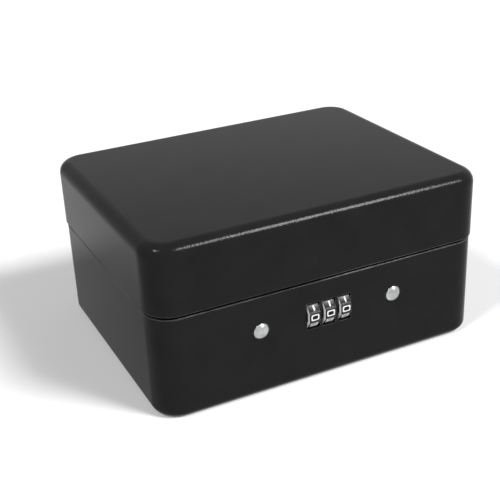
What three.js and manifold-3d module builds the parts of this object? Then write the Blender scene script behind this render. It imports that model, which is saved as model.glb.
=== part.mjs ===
import * as THREE from 'three';
import { mergeVertices } from 'three/addons/utils/BufferGeometryUtils.js';
import Module from 'manifold-3d';

// A small steel lock box for medicine: deep lid on two rear hinges, three number dials
// and two push buttons in the front wall. Millimetres, +X to the right, the front faces -Y,
// +Z up, origin at the centre of the flat underside.

const wasm = await Module();
wasm.setup();

// Sheet metal case
const caseWidth = 160;
const caseDepth = 126;
const caseHeight = 79.4;
const cornerRadius = 12.5;
const lidFillet = 5.5;
const baseFillet = 4;
const sheet = 1;
const baseTop = 47.4;
const seamGap = 1.3;
const lidProud = 0.6;
const rimSheet = 1;
const rimSeat = 4;
const rimRise = 6;
const weldGap = 0.15;

// Foam mat on the floor
const matThickness = 3;
const matInset = 3.2;
const matLift = 0.3;
const matEdge = 1.2;

// Rear hinges
const hingeInset = 38;
const hingeLength = 30;
const knuckleRadius = 2;
const knuckleClearance = 0.3;
const hingePinRadius = 1;
const pinClearance = 0.1;
const pinHeadRadius = 1.7;
const pinHeadHeight = 0.8;
const leafSheet = 1.2;
const leafHeight = 14;
const leafSetback = 0.75;
const lidOpening = THREE.MathUtils.degToRad(100);
const stopSlack = THREE.MathUtils.degToRad(2);
const stopReach = 3.3;
const stopThickness = 1;
const stopWidth = 6;
const rivetSpacing = 18;
const rivetDrop = 8.2;
const rivetRadius = 1.5;
const rivetHeadRadius = 2.6;
const rivetHeadHeight = 1;
const rivetTailRadius = 2.3;
const rivetTailHeight = 0.8;
const rivetHoleClearance = 0.3;

// Number dials and their windows
const dialCount = 3;
const dialGap = 2.45;
const dialWidth = 5.3;
const dialRadius = 7.2;
const dialFaceDepth = 0.25;
const dialRidgeWidth = 0.55;
const dialProud = 2.1;
const dialDrop = 15.9;
const digitCount = 10;
const windowSideGap = 0.65;
const windowEndGap = 0.35;
const shaftRadius = 1.4;
const shaftOverhang = 4;
const sleeveRadius = 2.9;
const sleeveClearance = 0.2;
const keyHeight = 0.8;
const keyWidth = 1.2;
const keyClearance = 0.3;
const flangeWallGap = 0.4;
const flangeWidth = 1.2;

// Push buttons, catches and the strikers on the lid
const buttonSpacing = 65.3;
const buttonRadius = 3.6;
const buttonClearance = 0.25;
const buttonCollar = 0.5;
const domeHeight = 1.7;
const buttonDepth = 2.4;
const buttonTravel = 2.5;
const stemRadius = 2.4;
const spigotRadius = 1.4;
const spigotEndGap = 1.2;
const strikerSheet = 1;
const strikerWidth = 6;
const strikerSetback = 2.8;
const strikerFoot = 7;
const strikerRimGap = 0.6;
const strikerLip = 1.4;
const strikerRise = 5.3;
const strikerWindowWidth = 3.6;
const strikerWindowHeight = 3.4;
const catchGap = 1;
const catchThickness = 2;
const catchWidth = 6.9;
const catchCrest = 0.2;
const catchSideGap = 2.4;
const noseWidth = 3;
const nosePlay = 0.4;
const noseHeight = 2.6;
const noseLip = 0.6;
const noseReach = 0.4;
const armShaftGap = 6.1;
const armRise = 5.1;
const armHeight = 2;
const springWire = 0.6;
const springRadius = 2.2;
const springTurns = 6;
const springLength = 9.9;
const springSeatGap = 0.15;

// Lock bar that drops behind the catches' arms
const barGap = 0.5;
const barThickness = 1.2;
const barHeight = 1.6;
const barDialClearance = 0.1;
const fingerWidth = 1;
const fingerClearance = 0.3;
const forkRoot = 1.7;
const forkClearance = 0.3;
const forkDepth = 2.5;
const forkLength = 4.5;
const gateClearance = 0.3;
const barSeatGap = 0.1;
const barSpringSheet = 0.25;
const barSpringLength = 30;
const barSpringGap = 0.15;

// Lock housing, its cover and fastenings
const housingDrop = 11.5;
const housingWall = 1.5;
const housingHeadroom = 0.4;
const housingGap = 0.3;
const barLift = 1.4;
const dialOpeningGap = 1;
const shaftRibWidth = 1.2;
const shaftRibDepth = 12;
const shaftSlotClearance = 0.25;
const guideWidth = 2;
const guideThickness = 1.3;
const guideDrop = 7.6;
const postOffset = 6.575;
const postSize = 4;
const coverSheet = 1.2;
const screwRadius = 1;
const screwLength = 8;
const screwHoleClearance = 0.3;
const screwHeadRadius = 2.2;
const screwHeadHeight = 1.2;
const earLength = 7;
const earHeight = 13;
const earThickness = 2.5;
const studRadius = 1.5;
const studLength = 6;
const studClearance = 0.3;
const nutRadius = 3.2;
const nutHeight = 2.4;

// Click spring behind the dials
const clickSheet = 0.3;
const clickSeatGap = 0.15;
const clickRise = 0.5;
const clickStripHeight = 4;
const clickFingerWidth = 2.4;
const clickTipGap = 0.25;
const clickTipFlat = 0.8;
const clickTailHeight = 4;
const clickTailDrop = 1.6;

// Code change lever behind the cover
const leverOffset = 7;
const leverRise = 3.7;
const leverTravel = 3;
const leverKnobWidth = 3;
const leverKnobHeight = 2.8;
const leverKnobReach = 2.8;
const leverSheet = 1.3;
const leverFlange = 3.6;
const leverFlangeHeight = 5.2;
const leverClearance = 0.3;
const leverArmWidth = 1.2;
const leverArmRise = 0.5;
const leverArmReach = 11;
const leverBeamHeight = 1.8;
const leverShaftGap = 0.4;

// How finely round shapes are cut, and how far cutting tools run past the metal
const cornerSteps = 9;
const filletSteps = 6;
const roundSteps = 28;
const smallSteps = 16;
const domeSteps = 7;
const coilSteps = 8;
const wireSides = 5;
const dialFaceSteps = 4;
const overrun = 2;

// Places worked out from the sizes above
const baseWidth = caseWidth - 2 * lidProud;
const baseDepth = caseDepth - 2 * lidProud;
const baseRadius = cornerRadius - lidProud;
const lidBottom = baseTop + seamGap;
const frontY = -baseDepth / 2;
const wallBackY = frontY + sheet;
const lidFrontInnerY = -caseDepth / 2 + sheet;
const rimBottom = baseTop - rimSeat;
const rimTop = baseTop + rimRise;
const rimBackY = wallBackY + weldGap + rimSheet;
const hingeSpacing = caseWidth - 2 * hingeInset;
const hingeY = caseDepth / 2 + knuckleClearance + knuckleRadius;
const hingeZ = baseTop + seamGap / 2;
const dialPitch = dialWidth + dialGap;
const dialSetback = dialRadius - dialProud;
const dialY = frontY + dialSetback;
const dialHeight = baseTop - dialDrop;
const buttonHeight = dialHeight;
const windowWidth = dialWidth + 2 * windowSideGap;
const windowHeight = 2 * (Math.sqrt(dialRadius ** 2 - (dialSetback - sheet) ** 2) + windowEndGap);
const flangeRadius = dialSetback - sheet - flangeWallGap;
const strikerBottom = buttonHeight + strikerRise;
const strikerFrontY = lidFrontInnerY + strikerSetback;
const strikerBackY = strikerFrontY + strikerSheet;
const strikerWindowBottom = strikerBottom + strikerLip;
const catchFrontY = strikerBackY + catchGap;
const catchBackY = catchFrontY + catchThickness;
const noseBottom = strikerBottom + strikerLip + nosePlay;
const catchTop = noseBottom + noseHeight + catchCrest;
const shaftHalfLength = ((dialCount - 1) / 2) * dialPitch + dialWidth / 2 + shaftOverhang;
const armTip = shaftHalfLength + armShaftGap;
const armBottom = buttonHeight + armRise;
const barFrontY = catchBackY + barGap;
const barBackY = barFrontY + barThickness;
const barBottom = dialHeight + dialRadius + barDialClearance;
const barTop = barBottom + barHeight;
const barHalfLength = armTip + forkLength;
const forkBottom = armBottom - forkClearance;
const forkTop = armBottom + armHeight + forkClearance;
const housingHalfLength = buttonSpacing / 2 + catchWidth / 2 + catchSideGap + housingWall;
const housingBottom = dialHeight - housingDrop;
const housingBackY = catchBackY + springLength;
const spigotLength = springLength - buttonTravel - spigotEndGap;
const housingInnerTop = barTop + barLift + housingHeadroom;
const housingTop = housingInnerTop + housingWall;
const housingStep = rimBottom - housingGap;
const housingFrontInnerY = wallBackY + housingWall;
const housingUpperFrontY = rimBackY + housingGap;
const postZ = housingBottom + housingWall + postSize / 2;
const ribInnerX = shaftHalfLength - shaftRibWidth;
const shaftRibTop = barBottom - barSeatGap;
const postX = shaftHalfLength + postOffset;
const clickBottom = housingBottom + housingWall + clickRise;
const leverX = postX + leverOffset;
const leverZ = housingBottom + housingWall + leverRise;
const leverArmTop = dialHeight + leverArmRise;
const dialXs = Array.from({ length: dialCount }, (_, i) => (i - (dialCount - 1) / 2) * dialPitch);

// Finishes
const finish = (color, roughness, metalness) => () => (
  new THREE.MeshStandardMaterial({ color, roughness, metalness })
);
const blackPaint = finish(0x2b2c2d, 0.55, 0.3);
const blackPlastic = finish(0x161616, 0.45, 0);
const darkPlastic = finish(0x2a2b2c, 0.6, 0);
const chrome = finish(0xd6d8da, 0.12, 1);
const zincPlate = finish(0xb9bbb8, 0.35, 0.9);
const springSteel = finish(0x9c9fa3, 0.3, 1);
const darkFoam = finish(0x202124, 0.95, 0);

const lockBox = new THREE.Group();

function addPiece(name, shape, material) {
  const geometry = shape instanceof THREE.BufferGeometry ? shape : geometryOf(shape);
  const mesh = new THREE.Mesh(geometry, material());
  mesh.name = name;
  lockBox.add(mesh);
}

// Solids from geometries, and back
function solid(geometry) {
  const bare = geometry.clone();
  bare.deleteAttribute('normal');
  bare.deleteAttribute('uv');
  const merged = mergeVertices(bare);
  return new wasm.Manifold(new wasm.Mesh({
    numProp: 3,
    vertProperties: new Float32Array(merged.attributes.position.array),
    triVerts: new Uint32Array(merged.index.array),
  }));
}

function geometryOf(manifold) {
  const mesh = manifold.getMesh();
  const geometry = new THREE.BufferGeometry();
  geometry.setAttribute('position', new THREE.BufferAttribute(new Float32Array(mesh.vertProperties), 3));
  geometry.setIndex(new THREE.BufferAttribute(new Uint32Array(mesh.triVerts), 1));
  geometry.computeVertexNormals();
  return geometry;
}

const joined = (pieces) => pieces.reduce((whole, piece) => whole.add(piece));
const cutBy = (body, tools) => tools.reduce((rest, tool) => rest.subtract(tool), body);

// A box between two corners
function block([x0, x1], [y0, y1], [z0, z1]) {
  const geometry = new THREE.BoxGeometry(x1 - x0, y1 - y0, z1 - z0);
  geometry.translate((x0 + x1) / 2, (y0 + y1) / 2, (z0 + z1) / 2);
  return solid(geometry);
}

// Round bars along X and Y
function barAlongX(radius, [x0, x1], y, z, steps = roundSteps) {
  const geometry = new THREE.CylinderGeometry(radius, radius, x1 - x0, steps);
  geometry.rotateZ(Math.PI / 2);
  geometry.translate((x0 + x1) / 2, y, z);
  return solid(geometry);
}

function barAlongY(radius, x, [y0, y1], z, steps = roundSteps) {
  const geometry = new THREE.CylinderGeometry(radius, radius, y1 - y0, steps);
  geometry.translate(x, (y0 + y1) / 2, z);
  return solid(geometry);
}

// An outline in Y and Z, given as [y, z] points, pushed out along X
function profileAlongX(points, [x0, x1]) {
  const outline = new THREE.Shape(points.map(([y, z]) => new THREE.Vector2(y, z)));
  const geometry = new THREE.ExtrudeGeometry(outline, { depth: x1 - x0, bevelEnabled: false });
  geometry.rotateX(Math.PI / 2);
  geometry.rotateZ(Math.PI / 2);
  geometry.translate(x0, 0, 0);
  return solid(geometry);
}

// A block with round corners in plan and an optional fillet at either end
function roundedBlock({ width, depth, radius, low, high, lowFillet = 0, highFillet = 0 }) {
  const rings = [];
  const steps = (fillet) => (fillet > 0 ? filletSteps : 0);
  for (let i = 0; i <= steps(lowFillet); i += 1) {
    const angle = lowFillet > 0 ? (i / filletSteps) * Math.PI / 2 : 0;
    rings.push({
      inset: lowFillet * (1 - Math.sin(angle)),
      z: low + lowFillet * (1 - Math.cos(angle)),
    });
  }
  for (let i = steps(highFillet); i >= 0; i -= 1) {
    const angle = highFillet > 0 ? (i / filletSteps) * Math.PI / 2 : 0;
    rings.push({
      inset: highFillet * (1 - Math.sin(angle)),
      z: high - highFillet * (1 - Math.cos(angle)),
    });
  }
  const positions = [];
  for (const { inset, z } of rings) {
    const r = radius - inset;
    for (let corner = 0; corner < 4; corner += 1) {
      const signX = corner === 0 || corner === 3 ? 1 : -1;
      const signY = corner < 2 ? 1 : -1;
      for (let i = 0; i <= cornerSteps; i += 1) {
        const angle = (corner + i / cornerSteps) * Math.PI / 2;
        positions.push(
          signX * (width / 2 - radius) + r * Math.cos(angle),
          signY * (depth / 2 - radius) + r * Math.sin(angle),
          z,
        );
      }
    }
  }
  const around = 4 * (cornerSteps + 1);
  const faces = [];
  for (let ring = 0; ring < rings.length - 1; ring += 1) {
    for (let i = 0; i < around; i += 1) {
      const a = ring * around + i;
      const b = ring * around + (i + 1) % around;
      faces.push(a, b, b + around, a, b + around, a + around);
    }
  }
  const last = (rings.length - 1) * around;
  for (let i = 1; i < around - 1; i += 1) {
    faces.push(0, i + 1, i);
    faces.push(last, last + i, last + i + 1);
  }
  const geometry = new THREE.BufferGeometry();
  geometry.setAttribute('position', new THREE.Float32BufferAttribute(positions, 3));
  geometry.setIndex(faces);
  return solid(geometry);
}

// Case: base tray, rim and lid
const rivetXs = [-1, 1].flatMap((side) => [-1, 1].map((end) => (
  side * hingeSpacing / 2 + end * rivetSpacing / 2
)));
const baseRivetZ = baseTop - rivetDrop;
const lidRivetZ = lidBottom + rivetDrop;
const buttonXs = [-buttonSpacing / 2, buttonSpacing / 2];
const rivetHole = rivetRadius + rivetHoleClearance;

function makeBaseShell() {
  const outside = roundedBlock({
    width: baseWidth,
    depth: baseDepth,
    radius: baseRadius,
    low: 0,
    high: baseTop,
    lowFillet: baseFillet,
  });
  const inside = roundedBlock({
    width: baseWidth - 2 * sheet,
    depth: baseDepth - 2 * sheet,
    radius: baseRadius - sheet,
    low: sheet,
    high: baseTop + overrun,
    lowFillet: baseFillet - sheet,
  });
  const wallSpan = [frontY - overrun, wallBackY + overrun];
  const windows = dialXs.map((x) => block(
    [x - windowWidth / 2, x + windowWidth / 2],
    wallSpan,
    [dialHeight - windowHeight / 2, dialHeight + windowHeight / 2],
  ));
  const buttonHoles = buttonXs.map((x) => (
    barAlongY(buttonRadius + buttonClearance, x, wallSpan, buttonHeight)
  ));
  const rivetHoles = rivetXs.map((x) => (
    barAlongY(rivetHole, x, [baseDepth / 2 - sheet - overrun, baseDepth / 2 + overrun], baseRivetZ, smallSteps)
  ));
  return cutBy(outside, [inside, ...windows, ...buttonHoles, ...rivetHoles]);
}

function makeBaseRim() {
  const inset = sheet + weldGap;
  const outside = roundedBlock({
    width: baseWidth - 2 * inset,
    depth: baseDepth - 2 * inset,
    radius: baseRadius - inset,
    low: rimBottom,
    high: rimTop,
  });
  const inside = roundedBlock({
    width: baseWidth - 2 * (inset + rimSheet),
    depth: baseDepth - 2 * (inset + rimSheet),
    radius: baseRadius - inset - rimSheet,
    low: rimBottom - overrun,
    high: rimTop + overrun,
  });
  return outside.subtract(inside);
}

function makeLidShell() {
  const outside = roundedBlock({
    width: caseWidth,
    depth: caseDepth,
    radius: cornerRadius,
    low: lidBottom,
    high: caseHeight,
    highFillet: lidFillet,
  });
  const inside = roundedBlock({
    width: caseWidth - 2 * sheet,
    depth: caseDepth - 2 * sheet,
    radius: cornerRadius - sheet,
    low: lidBottom - overrun,
    high: caseHeight - sheet,
    highFillet: lidFillet - sheet,
  });
  const rivetHoles = rivetXs.map((x) => (
    barAlongY(rivetHole, x, [caseDepth / 2 - sheet - overrun, caseDepth / 2 + overrun], lidRivetZ, smallSteps)
  ));
  return cutBy(outside, [inside, ...rivetHoles]);
}

function makeFloorMat() {
  return roundedBlock({
    width: baseWidth - 2 * (sheet + matInset),
    depth: baseDepth - 2 * (sheet + matInset),
    radius: baseRadius - sheet - matInset,
    low: sheet + matLift,
    high: sheet + matLift + matThickness,
    highFillet: matEdge,
  });
}

addPiece('base_shell', makeBaseShell(), blackPaint);
addPiece('base_rim', makeBaseRim(), blackPaint);
addPiece('lid_shell', makeLidShell(), blackPaint);
addPiece('floor_mat', makeFloorMat(), darkFoam);

// Hinges: three knuckles each, the middle one on the lid leaf
const knucklePitch = hingeLength / 3;

function knuckleSpan(hingeX, index) {
  const left = hingeX - hingeLength / 2 + index * knucklePitch;
  return [left + knuckleClearance / 2, left + knucklePitch - knuckleClearance / 2];
}

function pinHole(hingeX) {
  const reach = hingeLength / 2 + overrun;
  return barAlongX(hingePinRadius + pinClearance, [hingeX - reach, hingeX + reach], hingeY, hingeZ, smallSteps);
}

function leafRivetHoles(hingeX, z) {
  return [-1, 1].map((end) => barAlongY(
    rivetHole,
    hingeX + end * rivetSpacing / 2,
    [baseDepth / 2 - overrun, hingeY + overrun],
    z,
    smallSteps,
  ));
}

function makeBaseLeaf(hingeX) {
  const backY = baseDepth / 2;
  const plateTop = hingeZ - knuckleRadius - knuckleClearance;
  const plate = block(
    [hingeX - hingeLength / 2, hingeX + hingeLength / 2],
    [backY, backY + leafSheet],
    [baseTop - leafHeight, plateTop],
  );
  const knuckles = [0, 2].flatMap((index) => {
    const span = knuckleSpan(hingeX, index);
    return [
      barAlongX(knuckleRadius, span, hingeY, hingeZ),
      block(span, [backY, hingeY], [hingeZ - knuckleRadius, hingeZ - leafSetback]),
      block(span, [backY, backY + leafSheet], [plateTop - leafSheet, hingeZ - leafSetback]),
    ];
  });
  return cutBy(joined([plate, ...knuckles]), [pinHole(hingeX), ...leafRivetHoles(hingeX, baseRivetZ)]);
}

// The nib on the lid's knuckle that meets the base leaf's plate when the lid is fully open
function makeStopNib(hingeX) {
  const plateFront = baseDepth / 2 + leafSheet - hingeY;
  const halfAngle = Math.atan2(stopThickness / 2, stopReach);
  const meetingAngle = -Math.acos(plateFront / Math.hypot(stopThickness / 2, stopReach));
  const geometry = new THREE.BoxGeometry(stopWidth, stopReach - hingePinRadius - pinClearance, stopThickness);
  geometry.translate(0, (stopReach + hingePinRadius + pinClearance) / 2, 0);
  geometry.rotateX(meetingAngle + halfAngle + stopSlack + lidOpening);
  geometry.translate(hingeX, hingeY, hingeZ);
  return solid(geometry);
}

function makeLidLeaf(hingeX) {
  const backY = caseDepth / 2;
  const plateBottom = hingeZ + knuckleRadius + knuckleClearance;
  const span = knuckleSpan(hingeX, 1);
  const plate = block(
    [hingeX - hingeLength / 2, hingeX + hingeLength / 2],
    [backY, backY + leafSheet],
    [plateBottom, lidBottom + leafHeight],
  );
  const root = block(span, [backY, backY + leafSheet], [hingeZ + leafSetback, plateBottom + leafSheet]);
  const web = block(span, [backY, hingeY], [hingeZ + leafSetback, hingeZ + knuckleRadius]);
  const knuckle = barAlongX(knuckleRadius, span, hingeY, hingeZ);
  return cutBy(
    joined([plate, root, web, knuckle, makeStopNib(hingeX)]),
    [pinHole(hingeX), ...leafRivetHoles(hingeX, lidRivetZ)],
  );
}

function makeHingePin(hingeX) {
  const half = hingeLength / 2;
  const head = pinHeadHeight;
  return joined([
    barAlongX(hingePinRadius, [hingeX - half - head, hingeX + half + head], hingeY, hingeZ, smallSteps),
    barAlongX(pinHeadRadius, [hingeX - half - head, hingeX - half], hingeY, hingeZ, smallSteps),
    barAlongX(pinHeadRadius, [hingeX + half, hingeX + half + head], hingeY, hingeZ, smallSteps),
  ]);
}

// A pan head rivet through the leaf and the wall, its tail inside
function makeRivet(x, z, wallBack) {
  const inside = wallBack - sheet;
  const outside = wallBack + leafSheet;
  return joined([
    barAlongY(rivetRadius, x, [inside - rivetTailHeight, outside + rivetHeadHeight], z, smallSteps),
    barAlongY(rivetHeadRadius, x, [outside, outside + rivetHeadHeight], z, smallSteps),
    barAlongY(rivetTailRadius, x, [inside - rivetTailHeight, inside], z, smallSteps),
  ]);
}

for (const [side, sign] of [['left', -1], ['right', 1]]) {
  const hingeX = sign * hingeSpacing / 2;
  addPiece(`${side}_hinge_base_leaf`, makeBaseLeaf(hingeX), blackPaint);
  addPiece(`${side}_hinge_lid_leaf`, makeLidLeaf(hingeX), blackPaint);
  addPiece(`${side}_hinge_pin`, makeHingePin(hingeX), zincPlate);
  for (const [end, endSign] of [['outer', sign], ['inner', -sign]]) {
    const x = hingeX + endSign * rivetSpacing / 2;
    addPiece(`${side}_base_rivet_${end}`, makeRivet(x, baseRivetZ, baseDepth / 2), zincPlate);
    addPiece(`${side}_lid_rivet_${end}`, makeRivet(x, lidRivetZ, caseDepth / 2), zincPlate);
  }
}

// Strikers: a Z bracket welded inside the lid's front wall, with a slot for the catch
function makeStriker(x) {
  const span = [x - strikerWidth / 2, x + strikerWidth / 2];
  const jogBottom = rimTop + strikerRimGap;
  const jogTop = jogBottom + strikerSheet;
  const foot = block(span, [lidFrontInnerY, lidFrontInnerY + strikerSheet], [jogBottom, jogTop + strikerFoot]);
  const jog = block(span, [lidFrontInnerY, strikerBackY], [jogBottom, jogTop]);
  const tongue = block(span, [strikerFrontY, strikerBackY], [strikerBottom, jogTop]);
  const slot = block(
    [x - strikerWindowWidth / 2, x + strikerWindowWidth / 2],
    [strikerFrontY - overrun, strikerBackY + overrun],
    [strikerWindowBottom, strikerWindowBottom + strikerWindowHeight],
  );
  return joined([foot, jog, tongue]).subtract(slot);
}

// Button cap: a short plunger with a domed face
const capFrontY = frontY - buttonCollar;
const capBackY = frontY + buttonDepth;

function makeButtonCap(x) {
  const profile = [new THREE.Vector2(0, capBackY), new THREE.Vector2(buttonRadius, capBackY)];
  for (let i = 0; i < domeSteps; i += 1) {
    const angle = (i / domeSteps) * Math.PI / 2;
    profile.push(new THREE.Vector2(
      buttonRadius * Math.cos(angle),
      capFrontY - domeHeight * Math.sin(angle),
    ));
  }
  profile.push(new THREE.Vector2(0, capFrontY - domeHeight));
  const geometry = new THREE.LatheGeometry(profile.reverse(), roundSteps);
  geometry.translate(x, 0, buttonHeight);
  return solid(geometry);
}

// Catch: stem from the button, plate with a sloped nose, arm towards the dials
function makeCatch(x) {
  const inward = -Math.sign(x);
  const edge = x + inward * catchWidth / 2;
  const tip = Math.sign(x) * armTip;
  const noseTipY = strikerFrontY - noseReach;
  const plate = block(
    [x - catchWidth / 2, x + catchWidth / 2],
    [catchFrontY, catchBackY],
    [buttonHeight - stemRadius, catchTop],
  );
  const arm = block(
    [Math.min(edge, tip), Math.max(edge, tip)],
    [catchFrontY, catchBackY],
    [armBottom, armBottom + armHeight],
  );
  const nose = profileAlongX([
    [catchBackY, noseBottom],
    [noseTipY, noseBottom],
    [noseTipY, noseBottom + noseLip],
    [catchFrontY, noseBottom + noseHeight],
    [catchBackY, noseBottom + noseHeight],
  ], [x - noseWidth / 2, x + noseWidth / 2]);
  return joined([
    plate,
    arm,
    nose,
    barAlongY(stemRadius, x, [capBackY, catchBackY], buttonHeight, smallSteps),
    barAlongY(spigotRadius, x, [catchFrontY, catchBackY + spigotLength], buttonHeight, smallSteps),
  ]);
}

// Return spring behind each catch, round the spigot
class Helix extends THREE.Curve {
  constructor(x, z, radius, from, to, turns) {
    super();
    Object.assign(this, { x, z, radius, from, to, turns });
  }

  getPoint(t, target = new THREE.Vector3()) {
    const angle = t * this.turns * 2 * Math.PI;
    return target.set(
      this.x + this.radius * Math.cos(angle),
      this.from + t * (this.to - this.from),
      this.z + this.radius * Math.sin(angle),
    );
  }
}

function makeReturnSpring(x) {
  const seat = springSeatGap + springWire / 2;
  const path = new Helix(x, buttonHeight, springRadius, catchBackY + seat, housingBackY - seat, springTurns);
  const section = new THREE.Shape(Array.from({ length: wireSides }, (_, i) => new THREE.Vector2(
    (springWire / 2) * Math.cos((i / wireSides) * 2 * Math.PI),
    (springWire / 2) * Math.sin((i / wireSides) * 2 * Math.PI),
  )));
  return new THREE.ExtrudeGeometry(section, { steps: springTurns * coilSteps, extrudePath: path });
}

for (const [side, x] of [['left', buttonXs[0]], ['right', buttonXs[1]]]) {
  addPiece(`${side}_striker`, makeStriker(x), zincPlate);
  addPiece(`${side}_button_cap`, makeButtonCap(x), chrome);
  addPiece(`${side}_catch`, makeCatch(x), zincPlate);
  addPiece(`${side}_return_spring`, makeReturnSpring(x), springSteel);
}

// Dials: a round drum with ten digit faces and a finger ridge between each two
const faceAngle = (2 * Math.PI) / digitCount;
const flangeX = dialPitch / 2;

function makeDial(x) {
  const outline = new THREE.Shape();
  const faceRadius = dialRadius - dialFaceDepth;
  const ridgeHalf = dialRidgeWidth / 2 / dialRadius;
  const faceHalf = faceAngle / 2 - 2 * ridgeHalf;
  for (let digit = 0; digit < digitCount; digit += 1) {
    const middle = Math.PI + digit * faceAngle;
    const ridge = middle + faceAngle / 2;
    const face = Array.from(
      { length: dialFaceSteps + 1 },
      (_, step) => [faceRadius, middle - faceHalf + (2 * faceHalf * step) / dialFaceSteps],
    );
    const points = [...face, [dialRadius, ridge - ridgeHalf], [dialRadius, ridge + ridgeHalf]];
    points.forEach(([radius, angle], i) => {
      const place = [radius * Math.cos(angle), radius * Math.sin(angle)];
      if (digit === 0 && i === 0) {
        outline.moveTo(...place);
      } else {
        outline.lineTo(...place);
      }
    });
  }
  const drum = new THREE.ExtrudeGeometry(outline, { depth: dialWidth, bevelEnabled: false });
  drum.rotateX(Math.PI / 2);
  drum.rotateZ(Math.PI / 2);
  drum.translate(x - dialWidth / 2, dialY, dialHeight);
  const span = [x - dialWidth / 2 - overrun, x + dialWidth / 2 + overrun];
  const keyway = block(
    span,
    [dialY - keyWidth / 2 - keyClearance, dialY + keyWidth / 2 + keyClearance],
    [dialHeight - sleeveRadius - keyHeight - keyClearance, dialHeight],
  );
  return cutBy(solid(drum), [
    barAlongX(sleeveRadius + sleeveClearance, span, dialY, dialHeight),
    keyway,
  ]);
}

// Code sleeve: keyed into its dial, with a gated flange beside it
function makeCodeSleeve(x) {
  const tube = barAlongX(sleeveRadius, [x - dialWidth / 2, x + flangeX], dialY, dialHeight);
  const key = block(
    [x - dialWidth / 2, x + dialWidth / 2],
    [dialY - keyWidth / 2, dialY + keyWidth / 2],
    [dialHeight - sleeveRadius - keyHeight, dialHeight],
  );
  const flangeSpan = [x + flangeX - flangeWidth / 2, x + flangeX + flangeWidth / 2];
  const flange = barAlongX(flangeRadius, flangeSpan, dialY, dialHeight);
  const gate = block(
    [flangeSpan[0] - overrun, flangeSpan[1] + overrun],
    [barFrontY - gateClearance, dialY + flangeRadius + overrun],
    [dialHeight + shaftRadius, dialHeight + flangeRadius + overrun],
  );
  const bore = barAlongX(
    shaftRadius + sleeveClearance,
    [x - dialWidth / 2 - overrun, flangeSpan[1] + overrun],
    dialY,
    dialHeight,
    smallSteps,
  );
  return cutBy(joined([tube, key, flange]), [gate, bore]);
}

['left', 'middle', 'right'].forEach((place, i) => {
  addPiece(`${place}_dial`, makeDial(dialXs[i]), blackPlastic);
  addPiece(`${place}_code_sleeve`, makeCodeSleeve(dialXs[i]), zincPlate);
});
addPiece(
  'dial_shaft',
  barAlongX(shaftRadius, [-shaftHalfLength, shaftHalfLength], dialY, dialHeight, smallSteps),
  zincPlate,
);

// Lock bar: a flat plate whose fingers stand over the sleeves' gates and whose forked ends
// let the catches' arms through only while it is down
function makeLockBar() {
  const thickness = [barFrontY, barBackY];
  const beam = block([-barHalfLength, barHalfLength], thickness, [barBottom, barTop]);
  const offset = barFrontY - dialY;
  const fingerTip = dialHeight + Math.sqrt(flangeRadius ** 2 - offset ** 2) + fingerClearance;
  const fingers = dialXs.map((x) => block(
    [x + flangeX - fingerWidth / 2, x + flangeX + fingerWidth / 2],
    thickness,
    [fingerTip, barTop],
  ));
  const ends = [-1, 1].flatMap((side) => {
    const outer = side * barHalfLength;
    const root = side * (armTip - forkClearance);
    const inner = root - side * forkRoot;
    const span = (a, b) => [Math.min(a, b), Math.max(a, b)];
    return [
      block(span(inner, root), thickness, [forkBottom - forkDepth, barTop]),
      block(span(inner, outer), thickness, [forkBottom - forkDepth, forkBottom]),
      block(span(inner, outer), thickness, [forkTop, barTop]),
    ];
  });
  return joined([beam, ...fingers, ...ends]);
}

// Bowed leaf spring between the lock bar and the housing's roof
function makeBarSpring() {
  const half = barSpringLength / 2;
  const low = barTop + barSpringGap;
  const crest = housingInnerTop - barSpringGap - barSpringSheet;
  const outline = new THREE.Shape();
  outline.moveTo(-half, low);
  outline.quadraticCurveTo(0, 2 * crest - low, half, low);
  outline.lineTo(half, low + barSpringSheet);
  outline.quadraticCurveTo(0, 2 * crest - low + barSpringSheet, -half, low + barSpringSheet);
  const geometry = new THREE.ExtrudeGeometry(outline, {
    depth: barThickness,
    bevelEnabled: false,
    curveSegments: filletSteps,
  });
  geometry.rotateX(Math.PI / 2);
  geometry.translate(0, barBackY, 0);
  return geometry;
}

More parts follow.
